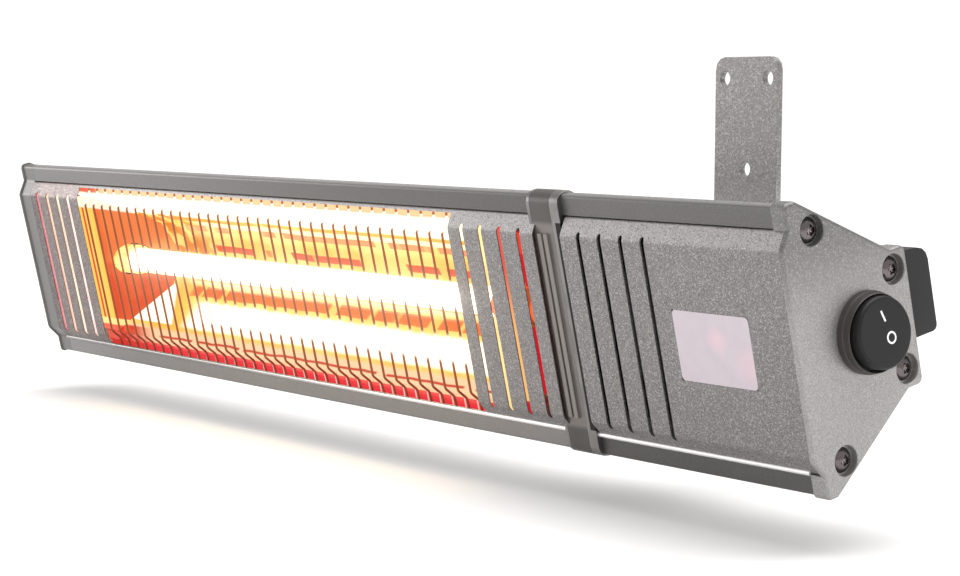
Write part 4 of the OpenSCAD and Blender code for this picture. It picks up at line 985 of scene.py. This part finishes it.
cap = {"outline": [(0, -42.5), (5, -50), (5, -60), (11, -60), (57.5, -29), (66, -29),
                   (66, 29), (57.5, 29), (11, 60), (5, 60), (5, 50), (0, 42.5)],
       "radii": [4, -2, 2.6, 2, 2, 3, 3, 2, 2, 2.6, -2, 4],  # below 0: a hollow corner
       "edge": 1.6, "edgeSteps": 5, "cornerSteps": 5, "left": (-6, 8.95), "right": (670, 662),
       "leftRim": -4.2, "rimStep": 0.96,
       "recess": [(1, 0), (1, 6.55), (0, 6.55), (-0.35, 6.2), (-3.2, 6.2), (-3.2, 2.2),
                  (-20, 2.2), (-20, 0)],
       "switchHole": [(1, 0), (1, 12.9), (-12, 12.9), (-12, 0)], "switchY": 38.5,
       "panelRoom": [(-3, -49.45), (6.84, -49.45), (2.05, -41.8),
                     (2.05, 41.8), (6.84, 49.45), (-3, 49.45)]}
screwPlaces = [(17.5, 46.8), (17.5, -46.8), (57.8, 20.6), (57.8, -20.6)]


def drawnIn(points, radii, d, steps):
    n = len(points)
    corners = []
    for i, p in enumerate(points):
        before = (Vector(p) - Vector(points[i - 1])).normalized()
        after = (Vector(points[(i + 1) % n]) - Vector(p)).normalized()
        a, b = Vector((-before[1], before[0])), Vector((-after[1], after[0]))
        corners.append(Vector(p) + (a + b) * (d / (1 + a.dot(b))))
    sizes = [max(r - d, 0.5) if r > 0 else d - r for r in radii]
    return arced(corners, sizes, True, steps)


def capBlank(outer, inner):
    inwards = 1 if inner > outer else -1
    r, steps = cap["edge"], cap["edgeSteps"]
    stations = []
    for k in range(steps + 1):
        a = math.pi / 2 * k / steps
        stations.append((outer + inwards * r * (1 - math.cos(a)), r * (1 - math.sin(a))))
    if outer < inner:  # behind its rim the left cap is flush with the housing
        rim, step = cap["leftRim"], cap["rimStep"]
        stations += [(rim, 0), (rim + 0.4, step), (inner, step)]
    else:
        stations.append((inner, 0))
    bm = bmesh.new()
    rings = [[bm.verts.new((x * mm, p[0] * mm, p[1] * mm))
              for p in drawnIn(cap["outline"], cap["radii"], d, cap["cornerSteps"])]
             for x, d in stations]
    for a, b in zip(rings, rings[1:]):
        joinRings(bm, a, b)
    bm.faces.new(rings[0])
    bm.faces.new(rings[-1][::-1])
    return bm


def makeCaps():
    for name, node, finish, (outer, inner) in (
            ("leftEndCap", "left_end_cap", "leftCap", cap["left"]),
            ("rightEndCap", "right_end_cap", "cap", cap["right"])):
        out = 1 if outer > inner else -1
        cutters = [spun([(h * out, r) for h, r in cap["recess"]], (outer, y, z), 48)
                   for y, z in screwPlaces]
        if out > 0:
            cutters.append(spun(cap["switchHole"], (outer, cap["switchY"], 0), 64))
            cutters.append(drawAlong(cap["panelRoom"], inner - 1, controlPanel["x1"] + 0.05))
        bm = cutAway(capBlank(outer, inner), cutters)
        put(name, newMesh(name, bm), finish, stands=(node,), smooth=35)


makeCaps()

# a bead along the lower lips, made bright by a painted highlight
bead = {"path": [(6.4, -50.2), (5.0, -50.2), (4.4, -49.6), (4.2, -48.8), (4.6, -48.1),
                 (5.4, -47.9), (6.2, -48.4)],
        "runs": {"heatingBead": (9, 508.5), "controlBead": (530.5, 661.9)}}


def makeBeads():
    for name, (x0, x1) in bead["runs"].items():
        bm = drawAlong([Vector(p) for p in bead["path"]], x0, x1)
        put(name, newMesh(name, bm), "bead", smooth=60)


makeBeads()
print("caps and beads")

# rings as (radius, height) over the head's seat, which lies in the cap by the recess
capScrew = {"headR": 5.2, "headH": 2.8, "domeRings": (2.9, 3.4, 3.9, 4.4, 4.8),
            "rim": [(5.08, 0.34), (5.2, 0.12), (5.2, 0)], "recess": 3.2,
            "shankR": 2.1, "shankLen": 20, "tip": (0.5, 0.6), "turn": 0.4, "nextTurn": 1.9,
            "socketR": 1.95, "lobe": 0.38, "lobes": 6, "socketDepth": 1.7, "dip": 0.5,
            "socketTop": (2.4, 0.12), "socketEdge": 0.14, "sides": 72}


def screwInto(bm, x, side, y, z, spin):
    look = capScrew
    dome = (look["headR"] ** 2 + look["headH"] ** 2) / (2 * look["headH"])

    def domeAt(r):
        return look["headH"] - dome + math.sqrt(dome * dome - r * r)

    def ring(radius, height):
        made = []
        for k in range(look["sides"]):
            a = 2 * math.pi * k / look["sides"]
            r = radius(a) if callable(radius) else radius
            h = height(r) if callable(height) else height
            made.append(bm.verts.new(((x + side * h) * mm, (y + r * math.cos(a + spin)) * mm,
                                      (z + r * math.sin(a + spin)) * mm)))
        return made

    def lobed(grow):
        return lambda a: look["socketR"] + grow + look["lobe"] * math.cos(look["lobes"] * a)

    def point(height):
        return [bm.verts.new(((x + side * height) * mm, y * mm, z * mm))]

    floor, dip = domeAt(0) - look["socketDepth"], look["dip"]
    wallTop = domeAt(look["socketTop"][0]) - look["socketTop"][1]
    shank, end, (narrower, sooner) = look["shankR"], look["shankLen"], look["tip"]
    rings = [
        point(floor - dip), ring(lobed(-dip), floor - dip / 5), ring(lobed(0), floor),
        ring(lobed(0), wallTop), ring(lobed(look["socketEdge"]), domeAt),
        *[ring(r, domeAt) for r in look["domeRings"]],
        *[ring(r, h) for r, h in look["rim"]],
        ring(shank, 0), ring(shank, sooner - end), ring(shank - narrower, -end), point(-end),
    ]
    for a, b in zip(rings, rings[1:]):
        joinRings(bm, a, b)


def makeCapScrews():
    for name, node, end, side in (("leftCapScrews", "left_cap_screws", "left", -1),
                                  ("rightCapScrews", "right_cap_screws", "right", 1)):
        x = cap[end][0] - side * capScrew["recess"]
        bm = bmesh.new()
        for i, (y, z) in enumerate(screwPlaces):
            screwInto(bm, x, side, y, z, capScrew["turn"] + capScrew["nextTurn"] * i)
        put(name, newMesh(name, bm), "darkChrome", stands=(node,), smooth=50)


makeCapScrews()
print("cap screws")

switch = {"x": 670, "y": 38.5, "pin": 672.6, "rock": 5, "top": 10.4,
          "bezel": [(0.85, 15.3), (5.5, 15.3), (5.9, 15.5), (6.0, 15.7), (5.8, 15.95),
                    (5.4, 16.05), (3.3, 16.05), (3.0, 16.2), (2.95, 16.45), (2.7, 16.7),
                    (2.4, 16.75), (0, 16.75), (0, 15.3), (0.85, 15.3)]}
# the rocker's marks: a stroke above the pin and a ring below it
marks = {"lift": 0.06, "root": -0.2, "tip": (-0.4, 8.9), "foot": (0.9, 4.4), "half": 0.45,
         "ringAt": (2.4, -2.6), "outer": 2.55, "inner": 1.75, "sides": 40}


def makeSwitch():
    bm = spun(switch["bezel"], (switch["x"], switch["y"], 0), 96)
    bmesh.ops.remove_doubles(bm, verts=bm.verts, dist=0.001 * mm)
    put("switchBezel", newMesh("switchBezel", bm), "switch",
        stands=("switch_bezel",), smooth=50)
    easedCopy("switch_rocker", "rocker", "rocker_plastic", 0.2)


def onRocker(u, v, out):
    # a point on the rocker's face: u back, v up, out of the face
    at = Vector((switch["x"] + switch["top"] + out - switch["pin"], switch["y"] + u, v))
    turned = Matrix.Rotation(math.radians(-switch["rock"]), 3, "Y") @ at
    return (turned + Vector((switch["pin"], 0, 0))) * mm


def makeMarks():
    bm = bmesh.new()
    lift, root, sides = marks["lift"], marks["root"], marks["sides"]
    tip, foot = Vector(marks["tip"]), Vector(marks["foot"])
    side = Vector(((foot - tip)[1], -(foot - tip)[0])).normalized() * marks["half"]
    outline = [tip + side, tip - side, foot - side, foot + side]
    top, low = ([bm.verts.new(onRocker(u, v, out)) for u, v in outline] for out in (lift, root))
    joinRings(bm, top, low)
    bm.faces.new(top)
    bm.faces.new(low[::-1])
    (u, v), outer, inner = marks["ringAt"], marks["outer"], marks["inner"]
    rings = []
    for r, out in ((outer, root), (outer, lift), (inner, lift), (inner, root)):
        rings.append([bm.verts.new(onRocker(u + r * math.cos(a), v + r * math.sin(a), out))
                      for a in (2 * math.pi * k / sides for k in range(sides))])
    for a, b in zip(rings, rings[1:] + rings[:1]):
        joinRings(bm, a, b)
    put("rockerMarks", newMesh("rockerMarks", bm), "mark", body="rocker")


makeSwitch()
makeMarks()
print("switch")
